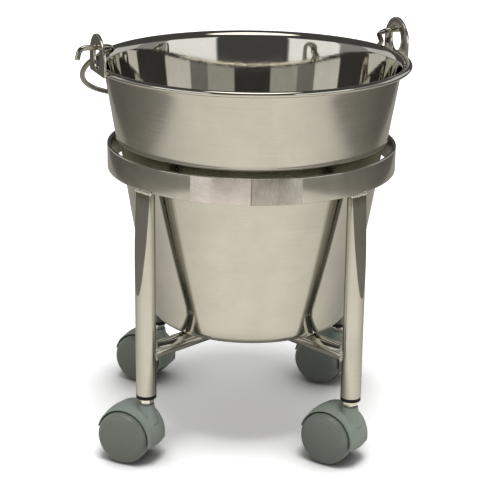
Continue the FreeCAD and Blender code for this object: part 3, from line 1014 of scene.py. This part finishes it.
# ------------------------------------------------------------------ bail
@dataclass
class Bail:
    """Bent wire handle with a hook through each ear."""

    finishes: Finishes
    radius: float = 2.4
    pivot: float = 383.5
    drop: float = 31.0
    depth: float = 156.0
    half_width: float = 148.4
    mid_radius: float = 230.0
    corner_radius: float = 90.0
    neck_radius: float = 20.0
    neck_start: float = 34.0
    neck_angle: float = 30.0
    hook_radius: float = 8.0
    ear_outside: float = 149.6
    tip_radius: float = 6.0
    tip_turn: float = 75.0
    tip_length: float = 6.0

    def half(self, reach: float) -> list[tuple[float, float, float]]:
        """Centre line of one half, from the middle to the tip.

        Args:
            reach: How far the hook stands out beyond the ear.

        Returns:
            Points as distances outwards, along the bail's plane and upwards.
        """
        lean = math.degrees(math.asin((self.half_width - self.corner_radius) / (self.mid_radius - self.corner_radius)))
        mid = self.depth - self.mid_radius
        corner_v = mid + (self.mid_radius - self.corner_radius) * math.cos(math.radians(lean))
        corner_a = self.half_width - self.corner_radius
        neck_lean = math.degrees(math.asin((corner_v - self.neck_start) / self.corner_radius))
        shift = self.corner_radius - self.neck_radius
        neck = (
            corner_a + shift * math.cos(math.radians(neck_lean)),
            corner_v - shift * math.sin(math.radians(neck_lean)),
        )
        turn = math.radians(self.neck_angle)
        both = self.neck_radius + self.hook_radius
        hook_a = neck[0] + (both - (neck[1] - self.hook_radius) * math.sin(turn)) / math.cos(turn)
        flat = arc((0.0, mid), self.mid_radius, 90.0, 90.0 - lean, 24)
        flat += arc((corner_a, corner_v), self.corner_radius, 90.0 - lean, -neck_lean, 40)[1:]
        flat += arc(neck, self.neck_radius, -neck_lean, -self.neck_angle, 8)[1:]
        flat += arc((hook_a, self.hook_radius), self.hook_radius, 180.0 - self.neck_angle, 270.0, 16)
        bend = self.ear_outside + reach - self.tip_radius
        path = [(a, v, 0.0) for a, v in flat]
        path += [(hook_a + (bend - hook_a) * i / 6, 0.0, 0.0) for i in range(1, 6)]
        tip = arc((bend, -self.tip_radius), self.tip_radius, 90.0, 90.0 - self.tip_turn, 12)
        path += [(a, 0.0, z) for a, z in tip]
        end = math.radians(-self.tip_turn)
        for i in range(1, 4):
            step = (self.tip_length - 0.4) * i / 3
            path.append((tip[-1][0] + math.cos(end) * step, 0.0, tip[-1][1] + math.sin(end) * step))
        return path

    def build(self) -> None:
        """Builds and places the bail."""
        out = polar(1.0, EAR_AZIMUTH)
        back = polar(1.0, EAR_AZIMUTH + 90.0)
        drop = math.radians(self.drop)
        plane = back * math.cos(drop) - Vector((0, 0, 1)) * math.sin(drop)
        centre = Vector((0, 0, self.pivot))
        halves = []
        for side, reach in ((Side.RIGHT, 8.5), (Side.LEFT, 16.5)):
            halves.append(
                [centre + out * (side.value * a) + plane * v + Vector((0, 0, z)) for a, v, z in self.half(reach)]
            )
        path = halves[0][::-1] + halves[1][1:]
        points, faces = swept(path, self.radius, 24, 0.5)
        piece = new_piece("bail_handle", points, faces, sharp=50.0)
        piece.data.materials.append(self.finishes.wire)
        fit_out(piece, "bail", "wire_steel", "bail_wire")


# ------------------------------------------------------------------ frame
@dataclass
class RingFrame:
    """Ring, legs, cross tubes, welds, plugs and lock nuts."""

    finishes: Finishes
    segments: int = 256
    ring_inner: float = 132.6
    ring_outer: float = 135.8
    ring_bottom: float = 262.7
    ring_height: float = 24.0
    leg_circle: float = 134.2
    leg_radius: float = 9.5
    leg_wall: float = 1.5
    leg_bottom: float = 67.1
    plug_bottom: float = 63.6
    nut_bottom: float = 59.2
    press_length: float = 98.0
    cross_z: float = 107.7
    cross_radius: float = 8.0
    ring_edge: float = 0.9
    seam_proud: float = 0.12
    seam_half: float = 0.75
    plug_bore: float = 4.2
    plug_edge: float = 0.7
    plug_step: float = 1.6
    plug_length: float = 24.0
    nut_flats: float = 13.0
    nut_turn: float = 12.0

    def ring(self) -> bpy.types.Object:
        """Flat bar rolled into a ring, its edges slightly rounded."""
        r0, r1 = self.ring_inner, self.ring_outer
        z0, z1 = self.ring_bottom, self.ring_bottom + self.ring_height
        e = self.ring_edge
        profile = arc((r1 - e, z0 + e), e, -90.0, 0.0, 4) + arc((r1 - e, z1 - e), e, 0.0, 90.0, 4)
        profile += arc((r0 + e, z1 - e), e, 90.0, 180.0, 4) + arc((r0 + e, z0 + e), e, 180.0, 270.0, 4)
        points, faces = lathe(profile, self.segments, closed=True)
        piece = new_piece("support_ring_bar", points, faces, sharp=50.0)
        piece.data.materials.append(self.finishes.ring)
        piece.data.materials.append(self.finishes.ring_inside)
        # Inner upright faces take the darker steel, which is painted shade.
        for face in piece.data.polygons:
            inward = face.normal.x * face.center.x + face.normal.y * face.center.y < 0
            face.material_index = 1 if inward and abs(face.normal.z) < 0.5 else 0
        return piece

    def seam(self) -> bpy.types.Object:
        """Ground butt weld across the ring at the front."""
        proud, half = self.seam_proud, self.seam_half
        rows = []
        for i in range(25):
            z = self.ring_bottom + 0.3 + (self.ring_height - 0.6) * i / 24
            wave = 0.12 * math.sin(i * 1.7) + 0.08 * math.sin(i * 3.1)
            ring = []
            for x, y in ((-half, 0.3), (-half * 0.6, -proud), (half * 0.6, -proud), (half, 0.3), (0.0, 3.0)):
                ring.append(Vector((x + wave, y - self.ring_outer, z)))
            rows.append(ring)
        points, faces = loft(rows, caps=True)
        piece = new_piece("ring_seam_bead", points, faces, sharp=50.0)
        piece.data.materials.append(self.finishes.seam)
        return piece

    def leg_ring(self, inset: float, z: float, place: LegPlace, steps: int = 48) -> list[Vector]:
        """Cross-section of a leg: a circle whose outer side is flat near the top.

        Args:
            inset: 0 for the outside, the wall's thickness for the inside.
            z: Height of the section.
            place: Which leg.
            steps: Points on the round part.

        Returns:
            The section's points.
        """
        radius = self.leg_radius - inset
        lower = self.ring_bottom - self.press_length
        share = min(1.0, max(0.0, (z - lower) / self.press_length))
        flush = self.ring_outer - self.leg_circle
        flat = self.leg_radius + (flush - self.leg_radius) * share - inset
        flat = min(flat, radius)
        corner = math.degrees(math.acos(flat / radius))
        section = arc((0.0, 0.0), radius, corner, 360.0 - corner, steps)
        half = radius * math.sin(math.radians(corner))
        section += [(flat, -half + 2 * half * i / 8) for i in range(1, 8)]
        at = polar(self.leg_circle, place.value)
        matrix = turn_and_place(place.value, at)
        return [matrix @ Vector((x, y, z)) for x, y in section]

    def leg(self, place: LegPlace) -> bpy.types.Object:
        """One leg tube, pressed flat on the outside near its top."""
        lower = self.ring_bottom - self.press_length
        levels = [self.leg_bottom, lower - 2.0, lower - 0.5]
        levels += [lower + self.press_length * i / 40 for i in range(41)]
        outer = [self.leg_ring(0.0, z, place) for z in levels]
        inner = [self.leg_ring(self.leg_wall, z, place) for z in reversed(levels)]
        points, faces = loft(outer + inner + [outer[0]], caps=False)
        piece = new_piece("leg_tube_" + place.node, points, faces, sharp=24.0)
        rounded_edges(piece, 0.35, sharp=60.0)
        piece.data.materials.append(self.finishes.leg)
        return piece

    def cross_tubes(self) -> None:
        """The through tube and the two half tubes under the bucket."""
        reach = self.leg_circle - self.leg_radius + 5.0
        runs = {
            "through": (LegPlace.FRONT_LEFT, LegPlace.REAR_RIGHT),
            "front_right": (None, LegPlace.FRONT_RIGHT),
            "rear_left": (None, LegPlace.REAR_LEFT),
        }
        for name, (start, end) in runs.items():
            first = polar(reach, start.value, self.cross_z) if start else polar(2.0, end.value, self.cross_z)
            last = polar(reach, end.value, self.cross_z)
            path = [first.lerp(last, i / 12) for i in range(13)]
            points, faces = swept(path, self.cross_radius, 64, 0.3)
            piece = new_piece("cross_tube_%s_bar" % name, points, faces, sharp=50.0)
            piece.data.materials.append(self.finishes.tube)
            fit_out(piece, "frame", "tube_steel", "cross_tube_" + name)

    def ring_weld_paths(self) -> list[list[Vector]]:
        """Centre lines of the welds across the legs' tops."""
        paths = []
        for place in LegPlace:
            paths.append(
                [polar(self.ring_outer + 0.2, place.value - 4.0 + 0.5 * i, self.ring_bottom - 0.1) for i in range(17)]
            )
        return paths

    def saddle(self, place: LegPlace) -> list[Vector]:
        """Closed line where a cross tube meets a leg."""
        out = []
        for i in range(48):
            angle = 2 * math.pi * i / 48
            side = (self.cross_radius + 0.3) * math.cos(angle)
            up = (self.cross_radius + 0.3) * math.sin(angle)
            depth = math.sqrt((self.leg_radius + 0.3) ** 2 - side**2)
            matrix = turn_and_place(place.value, Vector((0, 0, self.cross_z)))
            out.append(matrix @ Vector((self.leg_circle - depth, side, up)))
        return out

    def middle_paths(self) -> list[list[Vector]]:
        """Lower half of the lines where the half tubes meet the through tube."""
        paths = []
        for place in (LegPlace.FRONT_RIGHT, LegPlace.REAR_LEFT):
            matrix = turn_and_place(place.value, Vector((0, 0, self.cross_z)))
            radius = self.cross_radius + 0.3
            line = []
            for i in range(33):
                angle = math.radians(-215.0 + 250.0 * i / 32)
                side, up = radius * math.cos(angle), radius * math.sin(angle)
                line.append(matrix @ Vector((abs(side), side, up)))
            paths.append(line)
        return paths

    def plug(self, place: LegPlace) -> bpy.types.Object:
        """Black plastic plug: a collar under the tube and a body inside it."""
        r, top, low = self.leg_radius, self.leg_bottom, self.plug_bottom
        e, body, end = self.plug_edge, r - self.plug_step, top + self.plug_length
        profile = [(0.0, low), (self.plug_bore, low)] + arc((r - e, low + e), e, -90.0, 0.0, 5)
        profile += arc((r - 0.3, top - 0.4), 0.3, 0.0, 90.0, 3) + [(body, top), (body, end), (0.0, end)]
        points, faces = lathe(profile, 64, closed=False)
        at = polar(self.leg_circle, place.value)
        piece = new_piece("leg_plug_collar_" + place.node, moved(points, Matrix.Translation(at)), faces, sharp=50.0)
        piece.data.materials.append(self.finishes.plug)
        return piece

    def nuts(self) -> bpy.types.Object:
        """The four hexagon lock nuts with rounded-off corners."""
        parts = []
        corner = self.nut_flats / math.sqrt(3)
        for place in LegPlace:
            rings = []
            for z in (self.nut_bottom, self.plug_bottom):
                rings.append([polar(corner, 60.0 * i + self.nut_turn, z) for i in range(6)])
            points, faces = loft(rings, caps=True)
            parts.append((moved(points, turn_and_place(place.value, polar(self.leg_circle, place.value))), faces))
        points, faces = join_parts(parts)
        piece = new_piece("lock_nuts", points, faces, sharp=25.0)
        rounded_edges(piece, 0.35)
        piece.data.materials.append(self.finishes.nut)
        return piece

    def build(self) -> None:
        """Builds and places the frame's pieces."""
        fit_out(self.ring(), "frame", "ring_steel", "support_ring")
        fit_out(self.seam(), "frame", "weld_metal", "ring_seam_weld")
        for place in LegPlace:
            fit_out(self.leg(place), "frame", "tube_steel", "leg_" + place.node)
            fit_out(self.plug(place), "frame", "plug_plastic", "leg_plug_" + place.node)
        self.cross_tubes()
        weld = self.finishes.weld
        top = RippleWeld(pitch=2.2, length=1.3, width=2.2, height=1.8, seed=2)
        piece = top.piece("ring_weld_ripples", self.ring_weld_paths(), False, weld)
        fit_out(piece, "frame", "weld_metal", "leg_ring_welds")
        low = RippleWeld(pitch=1.7, length=1.25, width=2.1, height=1.3, seed=9)
        piece = low.piece("cross_weld_ripples", [self.saddle(place) for place in LegPlace], True, weld)
        fit_out(piece, "frame", "weld_metal", "cross_tube_leg_welds")
        piece = low.piece("middle_weld_ripples", self.middle_paths(), False, weld)
        fit_out(piece, "frame", "weld_metal", "cross_tube_centre_welds")
        fit_out(self.nuts(), "frame", "nut_plating", "caster_lock_nuts")


# ------------------------------------------------------------------ casters
@dataclass
class Caster:
    """Hooded twin-wheel caster, in its own frame: stem on Z, axle behind it on +X."""

    finishes: Finishes
    place: LegPlace
    leg_circle: float = 134.2
    wheel_radius: float = 25.0
    inner_face: float = 6.2
    tread_end: float = 14.5
    wheel_round: float = 7.5
    dome: float = 1.4
    skin: float = 2.4
    hub_radius: float = 6.0
    bore_radius: float = 3.05
    bore_end: float = 19.6
    trail: float = 17.4
    hood_radius: float = 27.5
    hood_inner: float = 26.2
    hood_shift: float = 1.0
    hood_crown: float = 2.2
    half_width: float = 15.2
    lip_width: float = 1.5
    open_angles: Point = (13.0, 193.5)
    web: float = 5.6
    neck_top: float = 57.8
    neck_radii: Point = (7.4, 11.4)
    neck_height: float = 19.0

    def matrix(self) -> Matrix:
        """Transform from the caster's frame to the row frame."""
        return turn_and_place(180.0 - CASTER_YAW[self.place], polar(self.leg_circle, self.place.value))

    def wheel(self, letter: str) -> bpy.types.Object:
        """One wheel moulding; wheel a is on the +Y side and wheel b on the other."""
        face = self.tread_end + self.wheel_round
        flat_radius = self.wheel_radius - self.wheel_round
        crown = (flat_radius**2 + self.dome**2) / (2 * self.dome)
        edge = math.degrees(math.asin(flat_radius / crown))

        def outside(inset: float) -> list[Point]:
            """Crown, rounding and tread, from the middle of the face."""
            top = face - inset + self.dome
            cap = arc((0.0, top - crown), crown, 90.0, 90.0 - edge, 12)
            shoulder = arc((flat_radius, self.tread_end), self.wheel_round - inset, 90.0, 0.0, 14)
            return [(0.0, cap[0][1])] + cap[1:] + shoulder[1:]

        profile = outside(0.0)
        profile += [(self.wheel_radius, 11.0), (self.wheel_radius, self.inner_face + 0.5)]
        profile += [(self.wheel_radius - 0.5, self.inner_face), (self.wheel_radius - self.skin, self.inner_face)]
        cavity = outside(self.skin)[::-1]
        limit = self.hub_radius
        profile += [p for p in cavity if p[0] > limit]
        profile += [(limit, face - self.skin), (limit, self.inner_face), (self.bore_radius, self.inner_face)]
        profile += [(self.bore_radius, self.bore_end), (0.0, self.bore_end)]
        points, faces = lathe(profile, 96, closed=False)
        upright = Matrix.Rotation(math.radians(-90.0 if letter == "a" else 90.0), 4, "X")
        matrix = self.matrix() @ Matrix.Translation(Vector((self.trail, 0.0, self.wheel_radius))) @ upright
        piece = new_piece("wheel_%s_moulding_%s" % (letter, self.place.node), moved(points, matrix), faces, sharp=40.0)
        piece.data.materials.append(self.finishes.wheel)
        return piece

    def hood_point(self, degrees: float, y: float, radius: float) -> Vector:
        """Point on the hood's outside, which is centred a little towards the stem."""
        angle = math.radians(degrees)
        x = self.trail - self.hood_shift + radius * math.cos(angle)
        return Vector((x, y, self.wheel_radius + radius * math.sin(angle)))

    def barrel(self) -> tuple[list[Vector], list[Face]]:
        """Crowned skin over both wheels, with the web between them."""
        rows = []
        steps = 60
        for i in range(steps + 1):
            share = i / steps
            degrees = self.open_angles[0] + (self.open_angles[1] - self.open_angles[0]) * share
            ring = []
            for j in range(25):
                y = -self.half_width + 2 * self.half_width * j / 24
                crown = self.hood_crown * (1 - (y / self.half_width) ** 2)
                ring.append(self.hood_point(degrees, y, self.hood_radius + crown))
            angle = math.radians(degrees)
            for y, radius in (
                (self.half_width, self.hood_inner),
                (self.web, self.hood_inner),
                (self.web, 0.5),
                (-self.web, 0.5),
                (-self.web, self.hood_inner),
                (-self.half_width, self.hood_inner),
            ):
                spot = (self.trail + radius * math.cos(angle), y, self.wheel_radius + radius * math.sin(angle))
                ring.append(Vector(spot))
            rows.append(ring)
        return loft(rows, caps=True)

    def neck(self) -> tuple[list[Vector], list[Face]]:
        """Socket for the stem, widening downwards."""
        top, low = self.neck_radii
        z1 = self.neck_top
        profile = [(0.0, z1), (top - 0.6, z1), (top - 0.15, z1 - 0.2), (top, z1 - 0.7)]
        for i in range(1, 9):
            share = i / 8
            profile.append((top + (low - top) * share**1.3, z1 - 0.7 - (self.neck_height - 0.7) * share))
        profile.append((0.0, z1 - self.neck_height))
        return lathe(profile, 64, closed=False)

    def hub(self) -> tuple[list[Vector], list[Face]]:
        """Boss round the axle in the middle of the web."""
        points, faces = lathe([(0.0, -self.web), (7.0, -self.web), (7.0, self.web), (0.0, self.web)], 48, closed=False)
        matrix = Matrix.Translation(Vector((self.trail, 0.0, self.wheel_radius)))
        return moved(points, matrix @ Matrix.Rotation(math.radians(90.0), 4, "X")), faces

    def lips(self) -> tuple[list[Vector], list[Face]]:
        """Rounded rim along each of the hood's open edges."""
        parts = []
        for sign in (-1, 1):
            y = sign * (self.half_width - self.lip_width / 2)
            path = []
            for i in range(61):
                degrees = self.open_angles[0] + 0.6 + (self.open_angles[1] - self.open_angles[0] - 1.2) * i / 60
                path.append(self.hood_point(degrees, y, self.hood_radius + 0.05))
            parts.append(swept(path, self.lip_width / 2, 12, 0.3))
        return join_parts(parts)

    def hood(self) -> bpy.types.Object:
        """The hood as one moulding, its inner corners softened."""
        points, faces = join_parts([self.barrel(), self.neck(), self.hub()])
        blank = new_piece("caster_hood_blank_" + self.place.node, points, faces)
        remesh = blank.modifiers.new("melt", "REMESH")
        remesh.mode = "VOXEL"
        remesh.voxel_size = 0.5 * MM
        soften = blank.modifiers.new("soften", "SMOOTH")
        soften.factor = 0.5
        soften.iterations = 4
        bake_modifiers(blank)
        mesh = blank.data
        base = [v.co / MM for v in mesh.vertices]
        body = (base, [tuple(p.vertices) for p in mesh.polygons])
        bpy.data.objects.remove(blank)
        points, faces = join_parts([body, self.lips()])
        piece = new_piece(
            "caster_hood_moulding_" + self.place.node, moved(points, self.matrix()), faces, sharp=50.0
        )
        piece.data.materials.append(self.finishes.hood)
        return piece

    def build(self) -> None:
        """Builds and places the caster's pieces."""
        node = self.place.node
        fit_out(self.hood(), "caster_" + node, "hood_plastic", "caster_hood_" + node)
        for letter in "ab":
            name = "wheel_%s_%s" % (letter, node)
            fit_out(self.wheel(letter), name, "wheel_plastic", name)


# ------------------------------------------------------------------ studio
WHITE: Colour = grey(1.2)
PALE: Colour = grey(0.7)
GREY: Colour = grey(0.35)
DARK: Colour = grey(0.08)


@dataclass(frozen=True)
class Panel:
    """Upright panel of the room, which ends where the next one starts."""

    start: float
    tone: Colour


@dataclass
class Studio:
    """Floor, room, lamp and camera. Degrees run from the front, and are positive to the right."""

    panels: tuple[Panel, ...] = (
        Panel(-180.0, DARK),
        Panel(-150.0, PALE),
        Panel(-105.0, GREY),
        Panel(-75.0, WHITE),
        Panel(-30.0, DARK),
        Panel(30.0, WHITE),
        Panel(75.0, GREY),
        Panel(105.0, PALE),
        Panel(150.0, DARK),
    )
    panel_blur: float = 1.0
    ceiling: Colour = DARK
    ceiling_join: Point = (0.44, 0.5)
    softbox: Colour = (2.9, 2.72, 2.4)
    softbox_lean: float = 9.0
    softbox_edge: Point = (0.93, 0.955)
    floor_size: float = 30.0
    floor_front: float = 1.0
    floor_back: float = 0.4
    floor_turn: Point = (-0.9, 0.5)
    floor_fade: Point = (0.4, 1.5)
    floor_far: float = 0.8
    paper_edge: Point = (0.675, 0.69)
    bare_floor: float = 0.4
    under_reach: Point = (0.10, 0.22)
    under_shade: float = 0.25
    floor_colour: Colour = (1.0, 0.95, 0.85)
    paper: float = 0.7
    paper_seen: float = 1.5
    contact_reach: float = 0.05
    contact_levels: Point = (0.3, 0.93)
    contact_shade: float = 0.25
    world_light: float = 0.48
    sun_energy: float = 1.62
    sun_angle: float = 22.0
    sun_tilt: Point = (12.0, 2.0)
    lens: float = 108.84
    camera_place: tuple[float, float, float] = (-0.00495, -1.3578, 0.6335)
    camera_down: float = 18.3885
    camera_roll: float = 0.7337

    def floor_light(self, wires: Wires, position: bpy.types.NodeSocket) -> bpy.types.NodeSocket:
        """Shade of the floor in reflections: a strip of paper, darker behind, far off and beside it, with a painted
        shadow under the object.

        Args:
            wires: The tree's wires.
            position: Place on the floor.

        Returns:
            The colour.
        """
        away, axes = wires.length(position), wires.axes(position)
        facing = wires.math("DIVIDE", axes["Y"], wires.math("MAXIMUM", away, NEARLY_ZERO))
        aside = wires.math("ABSOLUTE", axes["X"])
        level = wires.span(facing, *self.floor_turn, self.floor_front, self.floor_back)
        level = wires.math("MULTIPLY", level, wires.span(aside, *self.paper_edge, 1.0, self.bare_floor))
        level = wires.math("MULTIPLY", level, wires.span(away, *self.floor_fade, 1.0, self.floor_far))
        # Painted shadow under the object, seen only in reflections.
        level = wires.math("MULTIPLY", level, wires.span(away, *self.under_reach, self.under_shade, 1.0))
        return wires.dimmed(self.floor_colour, level)

    def floor(self) -> None:
        """White floor that keeps the object's shadow, with a painted contact shadow near the parts, and shades off
        round it in reflections.
        """
        size = self.floor_size
        mesh = bpy.data.meshes.new("floor")
        mesh.from_pydata([(-size, -size, 0), (size, -size, 0), (size, size, 0), (-size, size, 0)], [], [(0, 1, 2, 3)])
        obj = bpy.data.objects.new("floor", mesh)
        bpy.context.scene.collection.objects.link(obj)
        made = bpy.data.materials.new("floor_paper")
        made.use_nodes = True
        tree = made.node_tree
        tree.nodes.clear()
        wires = Wires(tree)
        seen = wires.node("ShaderNodeLightPath").outputs
        position = wires.node("ShaderNodeTexCoord").outputs["Object"]
        white = wires.blend(seen["Is Camera Ray"], rgba(grey(self.paper)), rgba(grey(self.paper_seen)))
        # Painted contact shadow: the AO node darkens the paper where parts stand close above it.
        corner = wires.node("ShaderNodeAmbientOcclusion", {"Distance": self.contact_reach}, samples=8).outputs["AO"]
        paper_colour = wires.dimmed(white, wires.span(corner, *self.contact_levels, self.contact_shade, 1.0))
        paper = wires.node("ShaderNodeBsdfDiffuse", {"Color": paper_colour})
        light = self.floor_light(wires, position)
        mirrored = wires.node("ShaderNodeEmission", {"Color": light, "Strength": 1.0})
        rays = wires.math("MAXIMUM", seen["Is Glossy Ray"], seen["Is Transmission Ray"])
        mixed = wires.node("ShaderNodeMixShader", {0: rays, 1: paper.outputs[0], 2: mirrored.outputs[0]})
        wires.node("ShaderNodeOutputMaterial", {"Surface": mixed.outputs[0]})
        obj.data.materials.append(made)

    def walls(self, wires: Wires, axes: bpy.types.bpy_prop_collection) -> bpy.types.NodeSocket:
        """Ring of upright panels round the room, with slightly soft edges.

        Args:
            wires: The tree's wires.
            axes: Components of the direction.

        Returns:
            The colour.
        """
        angle = wires.math("ARCTAN2", axes["X"], wires.math("MULTIPLY", axes["Y"], -1.0))
        share = wires.math("MULTIPLY_ADD", angle, 0.5 / math.pi, 0.5)
        stops = [(self.panels[0].start, self.panels[0].tone)]
        for before, after in zip(self.panels, self.panels[1:]):
            stops += [(after.start - self.panel_blur, before.tone), (after.start + self.panel_blur, after.tone)]
        ring = wires.node("ShaderNodeValToRGB", {"Fac": share})
        elements = ring.color_ramp.elements
        while len(elements) < len(stops):
            elements.new(1.0)
        for element, (degrees, colour) in zip(elements, stops):
            element.position = (degrees + 180.0) / 360.0
            element.color = rgba(colour)
        return ring.outputs["Color"]

    def world(self) -> None:
        """Even light for matt surfaces, white behind the object, and a panelled room for reflections."""
        world = bpy.data.worlds.new("room")
        bpy.context.scene.world = world
        world.use_nodes = True
        tree = world.node_tree
        tree.nodes.clear()
        wires = Wires(tree)
        direction = wires.node("ShaderNodeTexCoord").outputs["Generated"]
        axes = wires.axes(direction)
        lean = math.radians(self.softbox_lean)
        facing = wires.node(
            "ShaderNodeVectorMath", {0: direction, 1: (0.0, -math.sin(lean), math.cos(lean))}, operation="DOT_PRODUCT"
        ).outputs["Value"]
        inside_box = wires.span(facing, *self.softbox_edge, 0.0, 1.0)
        above = wires.blend(inside_box, rgba(self.ceiling), rgba(self.softbox))
        reflected = wires.blend(wires.span(axes["Z"], *self.ceiling_join, 0.0, 1.0), self.walls(wires, axes), above)
        seen = wires.node("ShaderNodeLightPath").outputs
        colour = wires.blend(seen["Is Camera Ray"], rgba(grey(self.world_light)), rgba(grey(1.0)))
        colour = wires.blend(seen["Is Glossy Ray"], colour, reflected)
        light = wires.node("ShaderNodeBackground", {"Color": colour, "Strength": 1.0})
        wires.node("ShaderNodeOutputWorld", {"Surface": light.outputs[0]})

    def lamps(self) -> None:
        """One broad, soft sun from above."""
        sun = bpy.data.lights.new("softbox_above", "SUN")
        sun.energy = self.sun_energy
        sun.angle = math.radians(self.sun_angle)
        lamp = bpy.data.objects.new("softbox_above", sun)
        lamp.rotation_euler = (math.radians(self.sun_tilt[0]), math.radians(self.sun_tilt[1]), 0.0)
        lamp.visible_glossy = False
        bpy.context.scene.collection.objects.link(lamp)

    def camera(self) -> None:
        """Long lens from the front, looking down on the bucket."""
        data = bpy.data.cameras.new("camera")
        data.sensor_fit = "HORIZONTAL"
        data.sensor_width = 36.0
        data.lens = self.lens
        data.clip_end = 100.0
        obj = bpy.data.objects.new("camera", data)
        tilt = Matrix.Rotation(math.radians(90.0 - self.camera_down), 4, "X")
        roll = Matrix.Rotation(math.radians(self.camera_roll), 4, "Z")
        obj.matrix_world = Matrix.Translation(Vector(self.camera_place)) @ tilt @ roll
        bpy.context.scene.collection.objects.link(obj)
        bpy.context.scene.camera = obj

    def build(self) -> None:
        """Builds the stage."""
        self.floor()
        self.world()
        self.lamps()
        self.camera()
        bpy.context.scene.view_settings.view_transform = "Standard"


def dress_small_nodes(finishes: Finishes) -> None:
    """Gives the CAD nodes that stay their material."""
    for name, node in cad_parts.items():
        if name.startswith(("caster_axle", "caster_stem")):
            for slot in node.material_slots:
                slot.material = finishes.pin
            if not node.material_slots:
                node.data.materials.append(finishes.pin)


def main() -> None:
    """Builds the object and its stage."""
    finishes = Finishes()
    Bucket(finishes).build()
    Bail(finishes).build()
    RingFrame(finishes).build()
    for place in LegPlace:
        Caster(finishes, place).build()
    dress_small_nodes(finishes)
    Studio().build()


if __name__ == "__main__":
    main()
